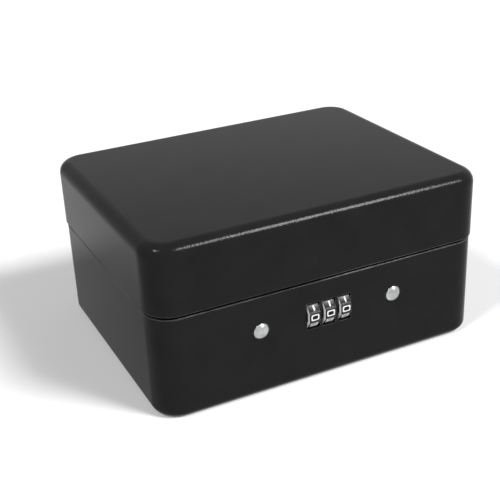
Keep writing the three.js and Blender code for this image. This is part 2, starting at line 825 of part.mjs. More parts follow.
// Lock housing: a tray behind the front wall, open at the back and round the dials
function makeLockHousing() {
  const tray = profileAlongX([
    [wallBackY, housingBottom],
    [housingBackY, housingBottom],
    [housingBackY, housingTop],
    [housingUpperFrontY, housingTop],
    [housingUpperFrontY, housingStep],
    [wallBackY, housingStep],
  ], [-housingHalfLength, housingHalfLength]);
  const innerHalf = housingHalfLength - housingWall;
  const floor = housingBottom + housingWall;
  const hollow = block(
    [-innerHalf, innerHalf],
    [housingFrontInnerY, housingBackY + overrun],
    [floor, housingStep - housingWall],
  );
  const upperHollow = block(
    [-innerHalf, innerHalf],
    [housingUpperFrontY + housingWall, housingBackY + overrun],
    [floor, housingInnerTop],
  );
  const dialOpening = block(
    [dialXs[0] - dialWidth / 2 - dialOpeningGap, dialXs[dialCount - 1] + dialWidth / 2 + flangeWidth + dialOpeningGap],
    [wallBackY - overrun, housingFrontInnerY + overrun],
    [dialHeight - dialRadius - dialOpeningGap, dialHeight + dialRadius + dialOpeningGap],
  );
  const strikerSlots = buttonXs.map((x) => block(
    [x - strikerWidth / 2 - dialOpeningGap, x + strikerWidth / 2 + dialOpeningGap],
    [strikerFrontY - catchGap, catchBackY],
    [housingStep - housingWall - overrun, housingTop + overrun],
  ));
  const buttonBores = buttonXs.map((x) => barAlongY(
    buttonRadius + buttonClearance,
    x,
    [wallBackY - overrun, housingFrontInnerY + overrun],
    buttonHeight,
  ));
  const shell = cutBy(tray, [hollow, upperHollow, dialOpening, ...strikerSlots, ...buttonBores]);
  const extras = [-1, 1].flatMap((side) => {
    const span = (a, b) => [Math.min(side * a, side * b), Math.max(side * a, side * b)];
    const guideX = armTip - forkClearance - forkRoot;
    const shaftSlot = shaftRadius + shaftSlotClearance;
    const rib = cutBy(
      block(
        span(ribInnerX, shaftHalfLength),
        [housingFrontInnerY - housingWall / 2, housingFrontInnerY + shaftRibDepth],
        [floor - housingWall / 2, shaftRibTop],
      ),
      [
        barAlongX(shaftSlot, span(ribInnerX - overrun, shaftHalfLength + overrun), dialY, dialHeight, smallSteps),
        block(
          span(ribInnerX - overrun, shaftHalfLength + overrun),
          [dialY, housingBackY],
          [dialHeight - shaftSlot, dialHeight + shaftSlot],
        ),
      ],
    );
    const post = cutBy(
      block(
        span(postX - postSize / 2, postX + postSize / 2),
        [housingFrontInnerY - housingWall / 2, housingBackY],
        [floor - housingWall / 2, floor + postSize],
      ),
      [barAlongY(
        screwRadius + screwHoleClearance,
        side * postX,
        [housingBackY - screwLength - overrun, housingBackY + overrun],
        postZ,
        smallSteps,
      )],
    );
    const guideRange = [housingInnerTop - guideDrop, housingInnerTop + housingWall / 2];
    const frontGuide = block(
      span(guideX - guideWidth, guideX),
      [barFrontY - gateClearance - guideThickness, barFrontY - gateClearance],
      guideRange,
    );
    const backGuide = block(
      span(guideX - guideWidth, guideX),
      [barBackY + gateClearance, barBackY + gateClearance + guideThickness],
      guideRange,
    );
    const ear = cutBy(
      block(
        span(housingHalfLength - housingWall / 2, housingHalfLength + earLength),
        [wallBackY, wallBackY + earThickness],
        [buttonHeight - earHeight / 2, buttonHeight + earHeight / 2],
      ),
      [barAlongY(
        studRadius + studClearance,
        side * (housingHalfLength + earLength / 2),
        [wallBackY - overrun, wallBackY + earThickness + overrun],
        buttonHeight,
        smallSteps,
      )],
    );
    return [rib, post, frontGuide, backGuide, ear];
  });
  return joined([shell, ...extras]);
}

// Cover plate on the back of the housing, with the change lever's slot
function makeLockCover() {
  const plate = block(
    [-housingHalfLength, housingHalfLength],
    [housingBackY, housingBackY + coverSheet],
    [housingBottom, housingTop],
  );
  const through = [housingBackY - overrun, housingBackY + coverSheet + overrun];
  const slot = block(
    [leverX - leverKnobWidth / 2 - leverClearance, leverX + leverKnobWidth / 2 + leverTravel + leverClearance],
    through,
    [leverZ - leverKnobHeight / 2 - leverClearance, leverZ + leverKnobHeight / 2 + leverClearance],
  );
  const screwHoles = [-1, 1].map((side) => (
    barAlongY(screwRadius + screwHoleClearance, side * postX, through, postZ, smallSteps)
  ));
  return cutBy(plate, [slot, ...screwHoles]);
}

function makeCoverScrew(x) {
  const seat = housingBackY + coverSheet;
  const slotDepth = screwHeadHeight / 2;
  return cutBy(joined([
    barAlongY(screwRadius, x, [housingBackY - screwLength, seat + screwHeadHeight], postZ, smallSteps),
    barAlongY(screwHeadRadius, x, [seat, seat + screwHeadHeight], postZ, smallSteps),
  ]), [block(
    [x - screwHeadRadius, x + screwHeadRadius],
    [seat + slotDepth, seat + screwHeadHeight + overrun],
    [postZ - slotDepth / 2, postZ + slotDepth / 2],
  )]);
}

// Weld studs and nuts that hold the housing by its ears
function makeStudNut(x) {
  const seat = wallBackY + earThickness;
  const nut = barAlongY(nutRadius, x, [seat, seat + nutHeight], buttonHeight, 6);
  const hole = barAlongY(
    studRadius + studClearance,
    x,
    [seat - overrun, seat + nutHeight + overrun],
    buttonHeight,
    smallSteps,
  );
  return nut.subtract(hole);
}

// Click spring: one strip with a bent finger behind each dial
function makeClickSpring() {
  const backY = housingBackY - clickSeatGap;
  const tipY = dialY + dialRadius + clickTipGap;
  const halfStrip = ((dialCount - 1) * dialPitch + clickFingerWidth) / 2;
  const stripTop = clickBottom + clickStripHeight;
  const strip = block([-halfStrip, halfStrip], [backY - clickSheet, backY], [clickBottom, stripTop]);
  const fingers = dialXs.map((x) => {
    const bend = [
      [backY, stripTop - clickSheet],
      [tipY + clickSheet, dialHeight - clickTipFlat / 2],
      [tipY + clickSheet, dialHeight + clickTipFlat / 2],
      [tipY + clickSheet + clickTailDrop, dialHeight + clickTailHeight],
    ];
    const front = bend.map(([y, z]) => [y - clickSheet, z]).reverse();
    return profileAlongX([...bend, ...front], [x - clickFingerWidth / 2, x + clickFingerWidth / 2]);
  });
  return joined([strip, ...fingers]);
}

// Change lever: knob through the cover, flange inside it, arm to the shaft's end
function makeChangeLever() {
  const backY = housingBackY - leverClearance;
  const sheetSpan = [backY - leverSheet, backY];
  const armX = shaftHalfLength + leverShaftGap;
  const beamBottom = postZ + postSize / 2 + leverClearance;
  return joined([
    block(
      [leverX - leverKnobWidth / 2, leverX + leverKnobWidth / 2],
      [backY - leverSheet, housingBackY + coverSheet + leverKnobReach],
      [leverZ - leverKnobHeight / 2, leverZ + leverKnobHeight / 2],
    ),
    block(
      [leverX - leverFlange, leverX + leverFlange],
      sheetSpan,
      [leverZ - leverFlangeHeight / 2, leverZ + leverFlangeHeight / 2],
    ),
    block([armX, leverX], sheetSpan, [beamBottom, beamBottom + leverBeamHeight]),
    block([armX, armX + leverArmWidth], [backY - leverArmReach, backY], [beamBottom, leverArmTop]),
  ]);
}

addPiece('lock_bar', makeLockBar(), zincPlate);
addPiece('bar_spring', makeBarSpring(), springSteel);
addPiece('lock_housing', makeLockHousing(), darkPlastic);
addPiece('lock_cover', makeLockCover(), zincPlate);
addPiece('click_spring', makeClickSpring(), springSteel);
addPiece('change_lever', makeChangeLever(), blackPlastic);
for (const [side, sign] of [['left', -1], ['right', 1]]) {
  const studX = sign * (housingHalfLength + earLength / 2);
  addPiece(`${side}_cover_screw`, makeCoverScrew(sign * postX), zincPlate);
  addPiece(
    `${side}_weld_stud`,
    barAlongY(studRadius, studX, [wallBackY, wallBackY + studLength], buttonHeight, smallSteps),
    zincPlate,
  );
  addPiece(`${side}_stud_nut`, makeStudNut(studX), zincPlate);
}

export default lockBox;
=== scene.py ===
import math
import bmesh
import bpy
from mathutils import Matrix, Vector, noise


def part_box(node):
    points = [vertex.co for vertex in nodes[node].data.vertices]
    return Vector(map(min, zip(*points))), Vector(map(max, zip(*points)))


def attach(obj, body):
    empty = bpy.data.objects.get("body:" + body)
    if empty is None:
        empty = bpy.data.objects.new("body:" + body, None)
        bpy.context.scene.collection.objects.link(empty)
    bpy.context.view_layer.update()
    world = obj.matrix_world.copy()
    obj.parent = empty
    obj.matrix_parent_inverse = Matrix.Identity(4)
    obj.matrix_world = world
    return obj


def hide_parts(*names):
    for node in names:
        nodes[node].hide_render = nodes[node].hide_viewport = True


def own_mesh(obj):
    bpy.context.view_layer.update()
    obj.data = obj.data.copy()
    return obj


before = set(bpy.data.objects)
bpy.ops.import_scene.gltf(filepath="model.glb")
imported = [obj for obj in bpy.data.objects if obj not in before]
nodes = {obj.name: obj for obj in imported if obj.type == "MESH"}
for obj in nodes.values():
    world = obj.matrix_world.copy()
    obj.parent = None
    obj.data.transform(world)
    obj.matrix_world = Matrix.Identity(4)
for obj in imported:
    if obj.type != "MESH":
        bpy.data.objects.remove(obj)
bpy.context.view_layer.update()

# Looks of a small black steel lock box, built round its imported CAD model.
# Metres, front faces -Y, +Z up. Lengths below are written in millimetres times mm.
mm = 0.001
mergeGap = 0.001 * mm  # points closer than this become one
tipRadius = 0.02 * mm  # turned pieces end in a tiny flat instead of a point
usualSharpAngle = 40  # edges that bend by more degrees than this stay sharp
scene = bpy.context.scene


# Mesh making

def newPiece(name, vertices, faces, material, sharpAngle=usualSharpAngle):
    mesh = bpy.data.meshes.new(name)
    mesh.from_pydata([tuple(v) for v in vertices], [], faces)
    mesh.validate()
    return newObject(name, mesh, material, sharpAngle)


def newObject(name, mesh, material, sharpAngle=usualSharpAngle):
    turnFacesOut(mesh)
    for polygon in mesh.polygons:
        polygon.use_smooth = True
    mesh.set_sharp_from_angle(angle=math.radians(sharpAngle))
    if material is not None:
        mesh.materials.append(material)
    piece = bpy.data.objects.new(name, mesh)
    scene.collection.objects.link(piece)
    return piece


def turnFacesOut(mesh):
    shape = bmesh.new()
    shape.from_mesh(mesh)
    bmesh.ops.remove_doubles(shape, verts=shape.verts, dist=mergeGap)
    bmesh.ops.recalc_face_normals(shape, faces=shape.faces)
    shape.to_mesh(mesh)
    shape.free()


# Rings of equal length joined by quads; open lofts get flat ends, closed ones meet their own start
def loft(name, rings, material, closed=False, sharpAngle=usualSharpAngle):
    around = len(rings[0])
    vertices = [point for ring in rings for point in ring]
    faces = []
    spans = len(rings) if closed else len(rings) - 1
    for ring in range(spans):
        for i in range(around):
            a = ring * around + i
            b = ring * around + (i + 1) % around
            c = (ring + 1) % len(rings) * around + (i + 1) % around
            d = (ring + 1) % len(rings) * around + i
            faces.append((a, b, c, d))
    if not closed:
        last = (len(rings) - 1) * around
        faces.append(tuple(reversed(range(around))))
        faces.append(tuple(range(last, last + around)))
    return newPiece(name, vertices, faces, material, sharpAngle)


# A rounded rectangle seen from above, with one more point on each straight run beside the corners
def roundedRing(size, inset, z, hold, steps=16):
    halfX, halfY, radius = size
    ring = []
    for corner, (signX, signY) in enumerate(((1, 1), (-1, 1), (-1, -1), (1, -1))):
        centre = Vector((signX * (halfX - radius), signY * (halfY - radius), z))
        for i in range(steps + 1):
            angle = (corner + i / steps) * math.pi / 2
            outward = Vector((math.cos(angle), math.sin(angle), 0))
            along = Vector((-math.sin(angle), math.cos(angle), 0))
            point = centre + outward * (radius - inset)
            if i == 0:
                ring.append(point - along * hold)
            ring.append(point)
            if i == steps:
                ring.append(point + along * hold)
    return ring


# Steps of a quarter turn, each as its sine and one minus its cosine
def quarter(steps):
    for i in range(steps + 1):
        angle = i / steps * math.pi / 2
        yield math.sin(angle), 1 - math.cos(angle)


# A profile of (radius, along) points turned about a line parallel to Y
def lathe(name, profile, centre, material, steps):
    rings = []
    for radius, along in profile:
        ring = []
        for i in range(steps):
            angle = i / steps * 2 * math.pi
            offset = Vector((radius * math.cos(angle), along, radius * math.sin(angle)))
            ring.append(Vector(centre) + offset)
        rings.append(ring)
    return loft(name, rings, material)


# A round wire along a list of points
def wire(name, path, radius, material, sides, sharpAngle):
    rings = []
    side = Vector((0, 0, 1))
    for i, point in enumerate(path):
        along = (path[min(i + 1, len(path) - 1)] - path[max(i - 1, 0)]).normalized()
        side = (side - along * side.dot(along)).normalized()
        across = along.cross(side)
        ring = []
        for k in range(sides):
            turn = k / sides * 2 * math.pi
            ring.append(point + (side * math.cos(turn) + across * math.sin(turn)) * radius)
        rings.append(ring)
    return loft(name, rings, material, sharpAngle=sharpAngle)


# A straight prism with any outline of (x, z) points, along Y
def prismAlongY(name, outline, low, high):
    rings = [[Vector((x, y, z)) for x, z in outline] for y in (low, high)]
    return loft(name, rings, None)


def roundedOutline(centreX, centreZ, width, height, radius, steps=5):
    size = (width / 2, height / 2, radius)
    return [(centreX + p.x, centreZ + p.y) for p in roundedRing(size, 0, 0, radius / 2, steps)]


def circleOutline(centreX, centreZ, radius, steps=48):
    turns = [i / steps * 2 * math.pi for i in range(steps)]
    return [(centreX + radius * math.cos(t), centreZ + radius * math.sin(t)) for t in turns]


# Swaps a piece's mesh for what its modifiers make of it
def applyModifiers(piece):
    bpy.context.view_layer.update()
    made = piece.evaluated_get(bpy.context.evaluated_depsgraph_get())
    mesh = bpy.data.meshes.new_from_object(made)
    piece.modifiers.clear()
    piece.data = mesh


def cutOut(piece, cutters):
    for cutter in cutters:
        modifier = piece.modifiers.new("cut", "BOOLEAN")
        modifier.operation = "DIFFERENCE"
        modifier.solver = "EXACT"
        modifier.object = cutter
    applyModifiers(piece)
    for cutter in cutters:
        bpy.data.objects.remove(cutter)


# Rounds the edges above an angle, and gives the new faces a material slot of their own
def softenEdges(piece, width, slot, segments=3, angle=50, flatWeight=80):
    modifier = piece.modifiers.new("soften", "BEVEL")
    modifier.width = width
    modifier.material = slot
    modifier.segments = segments
    modifier.limit_method = "ANGLE"
    modifier.angle_limit = math.radians(angle)
    modifier.miter_outer = "MITER_ARC"
    weighted = piece.modifiers.new("shade", "WEIGHTED_NORMAL")
    weighted.keep_sharp = False
    weighted.weight = flatWeight


def place(piece, body, stands=()):
    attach(piece, body)
    if stands:
        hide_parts(*stands)
    return piece


# Shader effects, each a node group that several finishes share

def addNode(tree, kind, inputs=None, **settings):
    node = tree.nodes.new(kind)
    for key, value in settings.items():
        setattr(node, key, value)
    for key, value in (inputs or {}).items():
        if isinstance(value, bpy.types.NodeSocket):
            tree.links.new(value, node.inputs[key])
        else:
            node.inputs[key].default_value = value
    return node


def newGroup(name, inputs, outputs):
    group = bpy.data.node_groups.new(name, "ShaderNodeTree")
    for socket, value in inputs.items():
        made = group.interface.new_socket(socket, in_out="INPUT", socket_type="NodeSocketFloat")
        made.default_value = value
    for socket in outputs:
        group.interface.new_socket(socket, in_out="OUTPUT", socket_type="NodeSocketFloat")
    return group, group.nodes.new("NodeGroupInput"), group.nodes.new("NodeGroupOutput")


def mathNode(tree, operation, a, b):
    return addNode(tree, "ShaderNodeMath", {0: a, 1: b}, operation=operation).outputs[0]


# The noise scale whose features have this size
def scaleFor(tree, size):
    return mathNode(tree, "DIVIDE", 1.0, size)


def remap(tree, value, low, high, newLow, newHigh):
    inputs = {0: value, 1: low, 2: high, 3: newLow, 4: newHigh}
    return addNode(tree, "ShaderNodeMapRange", inputs).outputs[0]


grainShape = {
    "detail": 2.0,
    "roughness": 0.55,
    "patchDetail": 4.0,
    "patchRoughness": 0.6,
    "pebbleReach": 0.8,
    "pebbleShare": 0.4,
    "speckles": (0.56, 0.72),
    "patches": (0.3, 0.7),
}


# Fine pebbled grain of powder coat and moulded plastic, with soft patches over a larger area
def makeGrainGroup():
    shape = grainShape
    group, given, result = newGroup(
        "surface grain",
        {"Grain Size": 0.4 * mm, "Patch Size": 12 * mm},
        ("Height", "Speckle", "Patch"),
    )
    position = group.nodes.new("ShaderNodeTexCoord").outputs["Object"]
    grainScale = scaleFor(group, given.outputs["Grain Size"])
    grain = addNode(group, "ShaderNodeTexNoise", {
        "Vector": position, "Scale": grainScale,
        "Detail": shape["detail"], "Roughness": shape["roughness"],
    })
    pebble = addNode(group, "ShaderNodeTexVoronoi", {
        "Vector": position, "Scale": grainScale,
    }, feature="SMOOTH_F1")
    patch = addNode(group, "ShaderNodeTexNoise", {
        "Vector": position, "Scale": scaleFor(group, given.outputs["Patch Size"]),
        "Detail": shape["patchDetail"], "Roughness": shape["patchRoughness"],
    })
    pebbles = remap(group, pebble.outputs["Distance"], 0.0, shape["pebbleReach"], 1.0, 0.0)
    fineShare = mathNode(group, "MULTIPLY", grain.outputs["Fac"], 1 - shape["pebbleShare"])
    pebbleShare = mathNode(group, "MULTIPLY", pebbles, shape["pebbleShare"])
    speckles = remap(group, grain.outputs["Fac"], *shape["speckles"], 0.0, 1.0)
    patches = remap(group, patch.outputs["Fac"], *shape["patches"], 0.0, 1.0)
    group.links.new(mathNode(group, "ADD", fineShare, pebbleShare), result.inputs["Height"])
    group.links.new(speckles, result.inputs["Speckle"])
    group.links.new(patches, result.inputs["Patch"])
    return group


edgeShape = {
    "samples": 4,
    "flat": 0.99,
    "sharp": 0.86,
    "breakDetail": 3.0,
    "breaks": (0.4, 0.65),
    "least": 0.25,
}


# Edge mask: where a rounded normal leaves the true one, broken up by noise. It marks wear on
# plated and moulded parts and a painted highlight on the powder coat's edges
def makeEdgeWearAndHighlightGroup():
    shape = edgeShape
    group, given, result = newGroup(
        "rubbed edge",
        {"Reach": 0.5 * mm, "Break Size": 1.5 * mm},
        ("Edge",),
    )
    position = group.nodes.new("ShaderNodeTexCoord").outputs["Object"]
    trueNormal = group.nodes.new("ShaderNodeNewGeometry").outputs["Normal"]
    rounded = addNode(group, "ShaderNodeBevel", {
        "Radius": given.outputs["Reach"],
    }, samples=shape["samples"])
    facing = addNode(group, "ShaderNodeVectorMath", {
        0: trueNormal, 1: rounded.outputs["Normal"],
    }, operation="DOT_PRODUCT").outputs["Value"]
    edge = remap(group, facing, shape["flat"], shape["sharp"], 0.0, 1.0)
    breakUp = addNode(group, "ShaderNodeTexNoise", {
        "Vector": position,
        "Scale": scaleFor(group, given.outputs["Break Size"]),
        "Detail": shape["breakDetail"],
    })
    broken = remap(group, breakUp.outputs["Fac"], *shape["breaks"], shape["least"], 1.0)
    group.links.new(mathNode(group, "MULTIPLY", edge, broken), result.inputs["Edge"])
    return group


platingShape = {
    "cloudDetail": 5.0,
    "cloudRoughness": 0.62,
    "clouds": (0.3, 0.7),
    "lineStretch": (0.04, 1.0, 1.0),
    "lineDetail": 2.0,
}


# Cloudy plating with faint drawn lines along X
def makePlatingGroup():
    shape = platingShape
    group, given, result = newGroup(
        "plating",
        {"Cloud Size": 4 * mm, "Line Size": 0.15 * mm},
        ("Cloud", "Line"),
    )
    position = group.nodes.new("ShaderNodeTexCoord").outputs["Object"]
    cloud = addNode(group, "ShaderNodeTexNoise", {
        "Vector": position,
        "Scale": scaleFor(group, given.outputs["Cloud Size"]),
        "Detail": shape["cloudDetail"],
        "Roughness": shape["cloudRoughness"],
    })
    stretched = addNode(group, "ShaderNodeVectorMath", {
        0: position, 1: shape["lineStretch"],
    }, operation="MULTIPLY").outputs["Vector"]
    line = addNode(group, "ShaderNodeTexNoise", {
        "Vector": stretched,
        "Scale": scaleFor(group, given.outputs["Line Size"]),
        "Detail": shape["lineDetail"],
    })
    clouds = remap(group, cloud.outputs["Fac"], *shape["clouds"], 0.0, 1.0)
    group.links.new(clouds, result.inputs["Cloud"])
    group.links.new(line.outputs["Fac"], result.inputs["Line"])
    return group


grainGroup = makeGrainGroup()
edgeWearAndHighlightGroup = makeEdgeWearAndHighlightGroup()
platingGroup = makePlatingGroup()
print("shader effects ready")


# Finishes

def newFinish(name, constants):
    material = bpy.data.materials.new(name)
    material.use_nodes = True
    shader = material.node_tree.nodes["Principled BSDF"]
    for socket, value in constants.items():
        shader.inputs[socket].default_value = value
    return material, material.node_tree, shader


def useGroup(tree, group, **values):
    node = tree.nodes.new("ShaderNodeGroup")
    node.node_tree = group
    for name, value in values.items():
        node.inputs[name.replace("_", " ")].default_value = value
    return node.outputs


def blendColors(tree, factor, low, high):
    node = tree.nodes.new("ShaderNodeMix")
    node.data_type = "RGBA"
    pairs = (("Factor_Float", factor), ("A_Color", low), ("B_Color", high))
    for identifier, value in pairs:
        socket = next(s for s in node.inputs if s.identifier == identifier)
        if isinstance(value, bpy.types.NodeSocket):
            tree.links.new(value, socket)
        else:
            socket.default_value = (*value, 1.0)
    return next(s for s in node.outputs if s.identifier == "Result_Color")


def addBump(tree, shader, height, depth):
    bump = addNode(tree, "ShaderNodeBump", {"Strength": 1.0, "Distance": depth, "Height": height})
    tree.links.new(bump.outputs["Normal"], shader.inputs["Normal"])


# Roughness that follows a mask, from its value at 0 to its value at 1
def setRoughness(tree, shader, mask, low, high):
    tree.links.new(remap(tree, mask, 0.0, 1.0, low, high), shader.inputs["Roughness"])


powderLook = {
    "deep": (0.0140, 0.0141, 0.0145),
    "light": (0.0172, 0.0173, 0.0177),
    "metal": 0.35,
    "edgeTint": (0.55, 0.55, 0.55, 1.0),
    "rubbed": (0.150, 0.150, 0.148),
    "smooth": 0.14,
    "rough": 0.18,
    "refraction": 1.145,
    "grain": 0.8 * mm,
    "grainDepth": 0.06 * mm,
    "patches": 16 * mm,
    "edgeReach": 0.45 * mm,
    "edgeBreaks": 2 * mm,
}


def makePowderCoat():
    look = powderLook
    material, tree, shader = newFinish("black powder coat", {
        "IOR": look["refraction"], "Metallic": look["metal"], "Specular Tint": look["edgeTint"],
    })
    grain = useGroup(tree, grainGroup, Grain_Size=look["grain"], Patch_Size=look["patches"])
    edge = useGroup(tree, edgeWearAndHighlightGroup, Reach=look["edgeReach"], Break_Size=look["edgeBreaks"])
    coat = blendColors(tree, grain["Patch"], look["deep"], look["light"])
    # Sharp edges take a much lighter colour: a painted highlight along them
    color = blendColors(tree, edge["Edge"], coat, look["rubbed"])
    tree.links.new(color, shader.inputs["Base Color"])
    setRoughness(tree, shader, grain["Patch"], look["smooth"], look["rough"])
    addBump(tree, shader, grain["Height"], look["grainDepth"])
    return material


edgeHighlightLook = {
    "refraction": 1.24,
    "coat": (0.012, 0.012, 0.0125),
    "bare": (0.17, 0.17, 0.168),
    "smooth": 0.24,
    "rough": 0.38,
    "breakGrain": 0.9 * mm,
    "breakGrains": (0.3, 0.6),
    "breakGrainLeast": 0.4,
    "stretch": 26 * mm,
    "spread": 60 * mm,
    "spreads": (0.3, 0.75),
    "spreadLeast": 0.12,
    "depth": 0.004 * mm,
}


# A painted highlight: a much lighter colour for sheet and cut edges, in long broken stretches
def makeEdgeHighlightCoat():
    look = edgeHighlightLook
    material, tree, shader = newFinish("painted edge highlight coat", {"IOR": look["refraction"]})
    highlightBreaks = useGroup(tree, grainGroup, Grain_Size=look["breakGrain"], Patch_Size=look["stretch"])
    spread = useGroup(tree, grainGroup, Grain_Size=look["breakGrain"], Patch_Size=look["spread"])
    breakGrains = remap(tree, highlightBreaks["Height"], *look["breakGrains"], look["breakGrainLeast"], 1.0)
    spreads = remap(tree, spread["Patch"], *look["spreads"], look["spreadLeast"], 1.0)
    amount = mathNode(tree, "MULTIPLY", mathNode(tree, "MULTIPLY", highlightBreaks["Patch"], breakGrains), spreads)
    color = blendColors(tree, amount, look["coat"], look["bare"])
    tree.links.new(color, shader.inputs["Base Color"])
    setRoughness(tree, shader, amount, look["rough"], look["smooth"])
    addBump(tree, shader, highlightBreaks["Height"], look["depth"])
    return material


platedLook = {
    "worn": (0.75, 0.75, 0.74),
    "clouds": 3.5 * mm,
    "lines": 0.15 * mm,
    "edgeReach": 0.25 * mm,
    "edgeBreaks": 1 * mm,
}
chromeLook = {
    "dull": (0.33, 0.335, 0.34),
    "bright": (0.56, 0.565, 0.57),
    "smooth": 0.16,
    "rough": 0.22,
    "depth": 0.0006 * mm,
}
zincLook = {
    "dull": (0.46, 0.47, 0.475),
    "bright": (0.60, 0.60, 0.585),
    "smooth": 0.26,
    "rough": 0.42,
    "depth": 0.004 * mm,
}
springSteelLook = {
    "dull": (0.33, 0.33, 0.34),
    "bright": (0.46, 0.46, 0.47),
    "smooth": 0.22,
    "rough": 0.34,
    "depth": 0.003 * mm,
}


def makePlated(name, look):
    shared = platedLook
    material, tree, shader = newFinish(name, {"Metallic": 1.0})
    plating = useGroup(tree, platingGroup, Cloud_Size=shared["clouds"], Line_Size=shared["lines"])
    edge = useGroup(tree, edgeWearAndHighlightGroup, Reach=shared["edgeReach"], Break_Size=shared["edgeBreaks"])
    plate = blendColors(tree, plating["Cloud"], look["dull"], look["bright"])
    color = blendColors(tree, edge["Edge"], plate, shared["worn"])
    tree.links.new(color, shader.inputs["Base Color"])
    setRoughness(tree, shader, plating["Cloud"], look["rough"], look["smooth"])
    addBump(tree, shader, plating["Line"], look["depth"])
    return material


mouldedLook = {
    "patches": 6 * mm,
    "edgeReach": 0.2 * mm,
    "edgeBreaks": 1 * mm,
    "wornGain": 2.2,
    "wornMost": 0.8,
}
dialPlasticLook = {
    "deep": (0.0020, 0.0020, 0.0021),
    "light": (0.0032, 0.0032, 0.0033),
    "smooth": 0.22,
    "rough": 0.27,
    "grain": 0.3 * mm,
    "depth": 0.003 * mm,
    "refraction": 1.29,
}
# Light side band: a bare rim, made lighter as a painted glint
dialBareSideAndGlintLook = {
    "deep": (0.74, 0.74, 0.735),
    "light": (0.84, 0.84, 0.83),
    "smooth": 0.28,
    "rough": 0.38,
    "grain": 0.25 * mm,
    "depth": 0.003 * mm,
    "refraction": 1.55,
}
# Ridge crests a little lighter than the plastic: a painted highlight
dialRidgeHighlightLook = {
    "deep": (0.022, 0.022, 0.022),
    "light": (0.045, 0.045, 0.044),
    "smooth": 0.30,
    "rough": 0.40,
    "grain": 0.25 * mm,
    "depth": 0.003 * mm,
    "refraction": 1.40,
}
housingLook = {
    "deep": (0.013, 0.013, 0.014),
    "light": (0.021, 0.021, 0.022),
    "smooth": 0.46,
    "rough": 0.58,
    "grain": 0.5 * mm,
    "depth": 0.015 * mm,
    "refraction": 1.45,
}


def makeMoulded(name, look):
    shared = mouldedLook
    material, tree, shader = newFinish(name, {"IOR": look["refraction"]})
    texture = useGroup(tree, grainGroup, Grain_Size=look["grain"], Patch_Size=shared["patches"])
    edge = useGroup(tree, edgeWearAndHighlightGroup, Reach=shared["edgeReach"], Break_Size=shared["edgeBreaks"])
    worn = [min(shared["wornMost"], shared["wornGain"] * c) for c in look["light"]]
    plastic = blendColors(tree, texture["Patch"], look["deep"], look["light"])
    color = blendColors(tree, edge["Edge"], plastic, worn)
    tree.links.new(color, shader.inputs["Base Color"])
    setRoughness(tree, shader, texture["Patch"], look["smooth"], look["rough"])
    addBump(tree, shader, texture["Height"], look["depth"])
    return material


paintLook = {
    "deep": (0.80, 0.80, 0.78),
    "light": (0.90, 0.90, 0.89),
    "shine": 0.4,
    "smooth": 0.38,
    "rough": 0.5,
    "grain": 0.12 * mm,
    "patches": 1.5 * mm,
    "depth": 0.004 * mm,
}


def makeDigitPaint():
    look = paintLook
    material, tree, shader = newFinish("white digit paint", {"Specular IOR Level": look["shine"]})
    texture = useGroup(tree, grainGroup, Grain_Size=look["grain"], Patch_Size=look["patches"])
    color = blendColors(tree, texture["Patch"], look["deep"], look["light"])
    tree.links.new(color, shader.inputs["Base Color"])
    setRoughness(tree, shader, texture["Patch"], look["smooth"], look["rough"])
    addBump(tree, shader, texture["Height"], look["depth"])
    return material


foamLook = {
    "deep": (0.018, 0.018, 0.020),
    "light": (0.034, 0.034, 0.037),
    "shine": 0.2,
    "sheen": 0.25,
    "smooth": 0.88,
    "rough": 1.0,
    "cells": 0.7 * mm,
    "patches": 18 * mm,
    "depth": 0.18 * mm,
}


def makeFoam():
    look = foamLook
    material, tree, shader = newFinish("dark foam", {
        "Specular IOR Level": look["shine"], "Sheen Weight": look["sheen"],
    })
    cells = useGroup(tree, grainGroup, Grain_Size=look["cells"], Patch_Size=look["patches"])
    color = blendColors(tree, cells["Speckle"], look["deep"], look["light"])
    tree.links.new(color, shader.inputs["Base Color"])
    setRoughness(tree, shader, cells["Patch"], look["smooth"], look["rough"])
    addBump(tree, shader, cells["Height"], look["depth"])
    return material


powderCoat = makePowderCoat()
# Painted highlight for sheet and cut edges
edgeHighlightCoat = makeEdgeHighlightCoat()
chrome = makePlated("polished chrome", chromeLook)
zincPlate = makePlated("zinc plate", zincLook)
springSteel = makePlated("spring steel", springSteelLook)
dialPlastic = makeMoulded("black dial plastic", dialPlasticLook)
dialBareSideAndGlint = makeMoulded("bare dial side and painted glint", dialBareSideAndGlintLook)
dialRidgeHighlight = makeMoulded("dial ridge painted highlight", dialRidgeHighlightLook)
housingPlastic = makeMoulded("black housing plastic", housingLook)
digitPaint = makeDigitPaint()
foam = makeFoam()
print("finishes ready")


# Steel case. Sizes repeat the CAD source; the looks add the rounded sheet edges.
caseLook = {
    "half": (80 * mm, 63 * mm),
    "corner": 12.5 * mm,
    "sheet": 1 * mm,
    "lidProud": 0.6 * mm,
    "lidFillet": 5.5 * mm,
    "baseFillet": 4 * mm,
    "filletSteps": 14,
    "sheetEdge": 0.38 * mm,
    "edgeSteps": 5,
    "edgeHighlightBand": 0.36 * mm,
    "hold": 0.9 * mm,
    "cutEdge": 0.16 * mm,
    "rimEdge": 0.42 * mm,
}
# The second slot holds the painted edge highlight
edgeHighlightSlot = 1  # the sheet pieces' second material slot

# Holes through the walls, each cut from a little outside the wall to a little inside it
windowLook = {
    "width": 6.6 * mm,
    "height": 12.54 * mm,
    "corner": 0.5 * mm,
    "buttonHole": 3.85 * mm,
    "rivetHole": 1.8 * mm,
    "cutOutside": 2 * mm,
    "cutInside": 3 * mm,
}


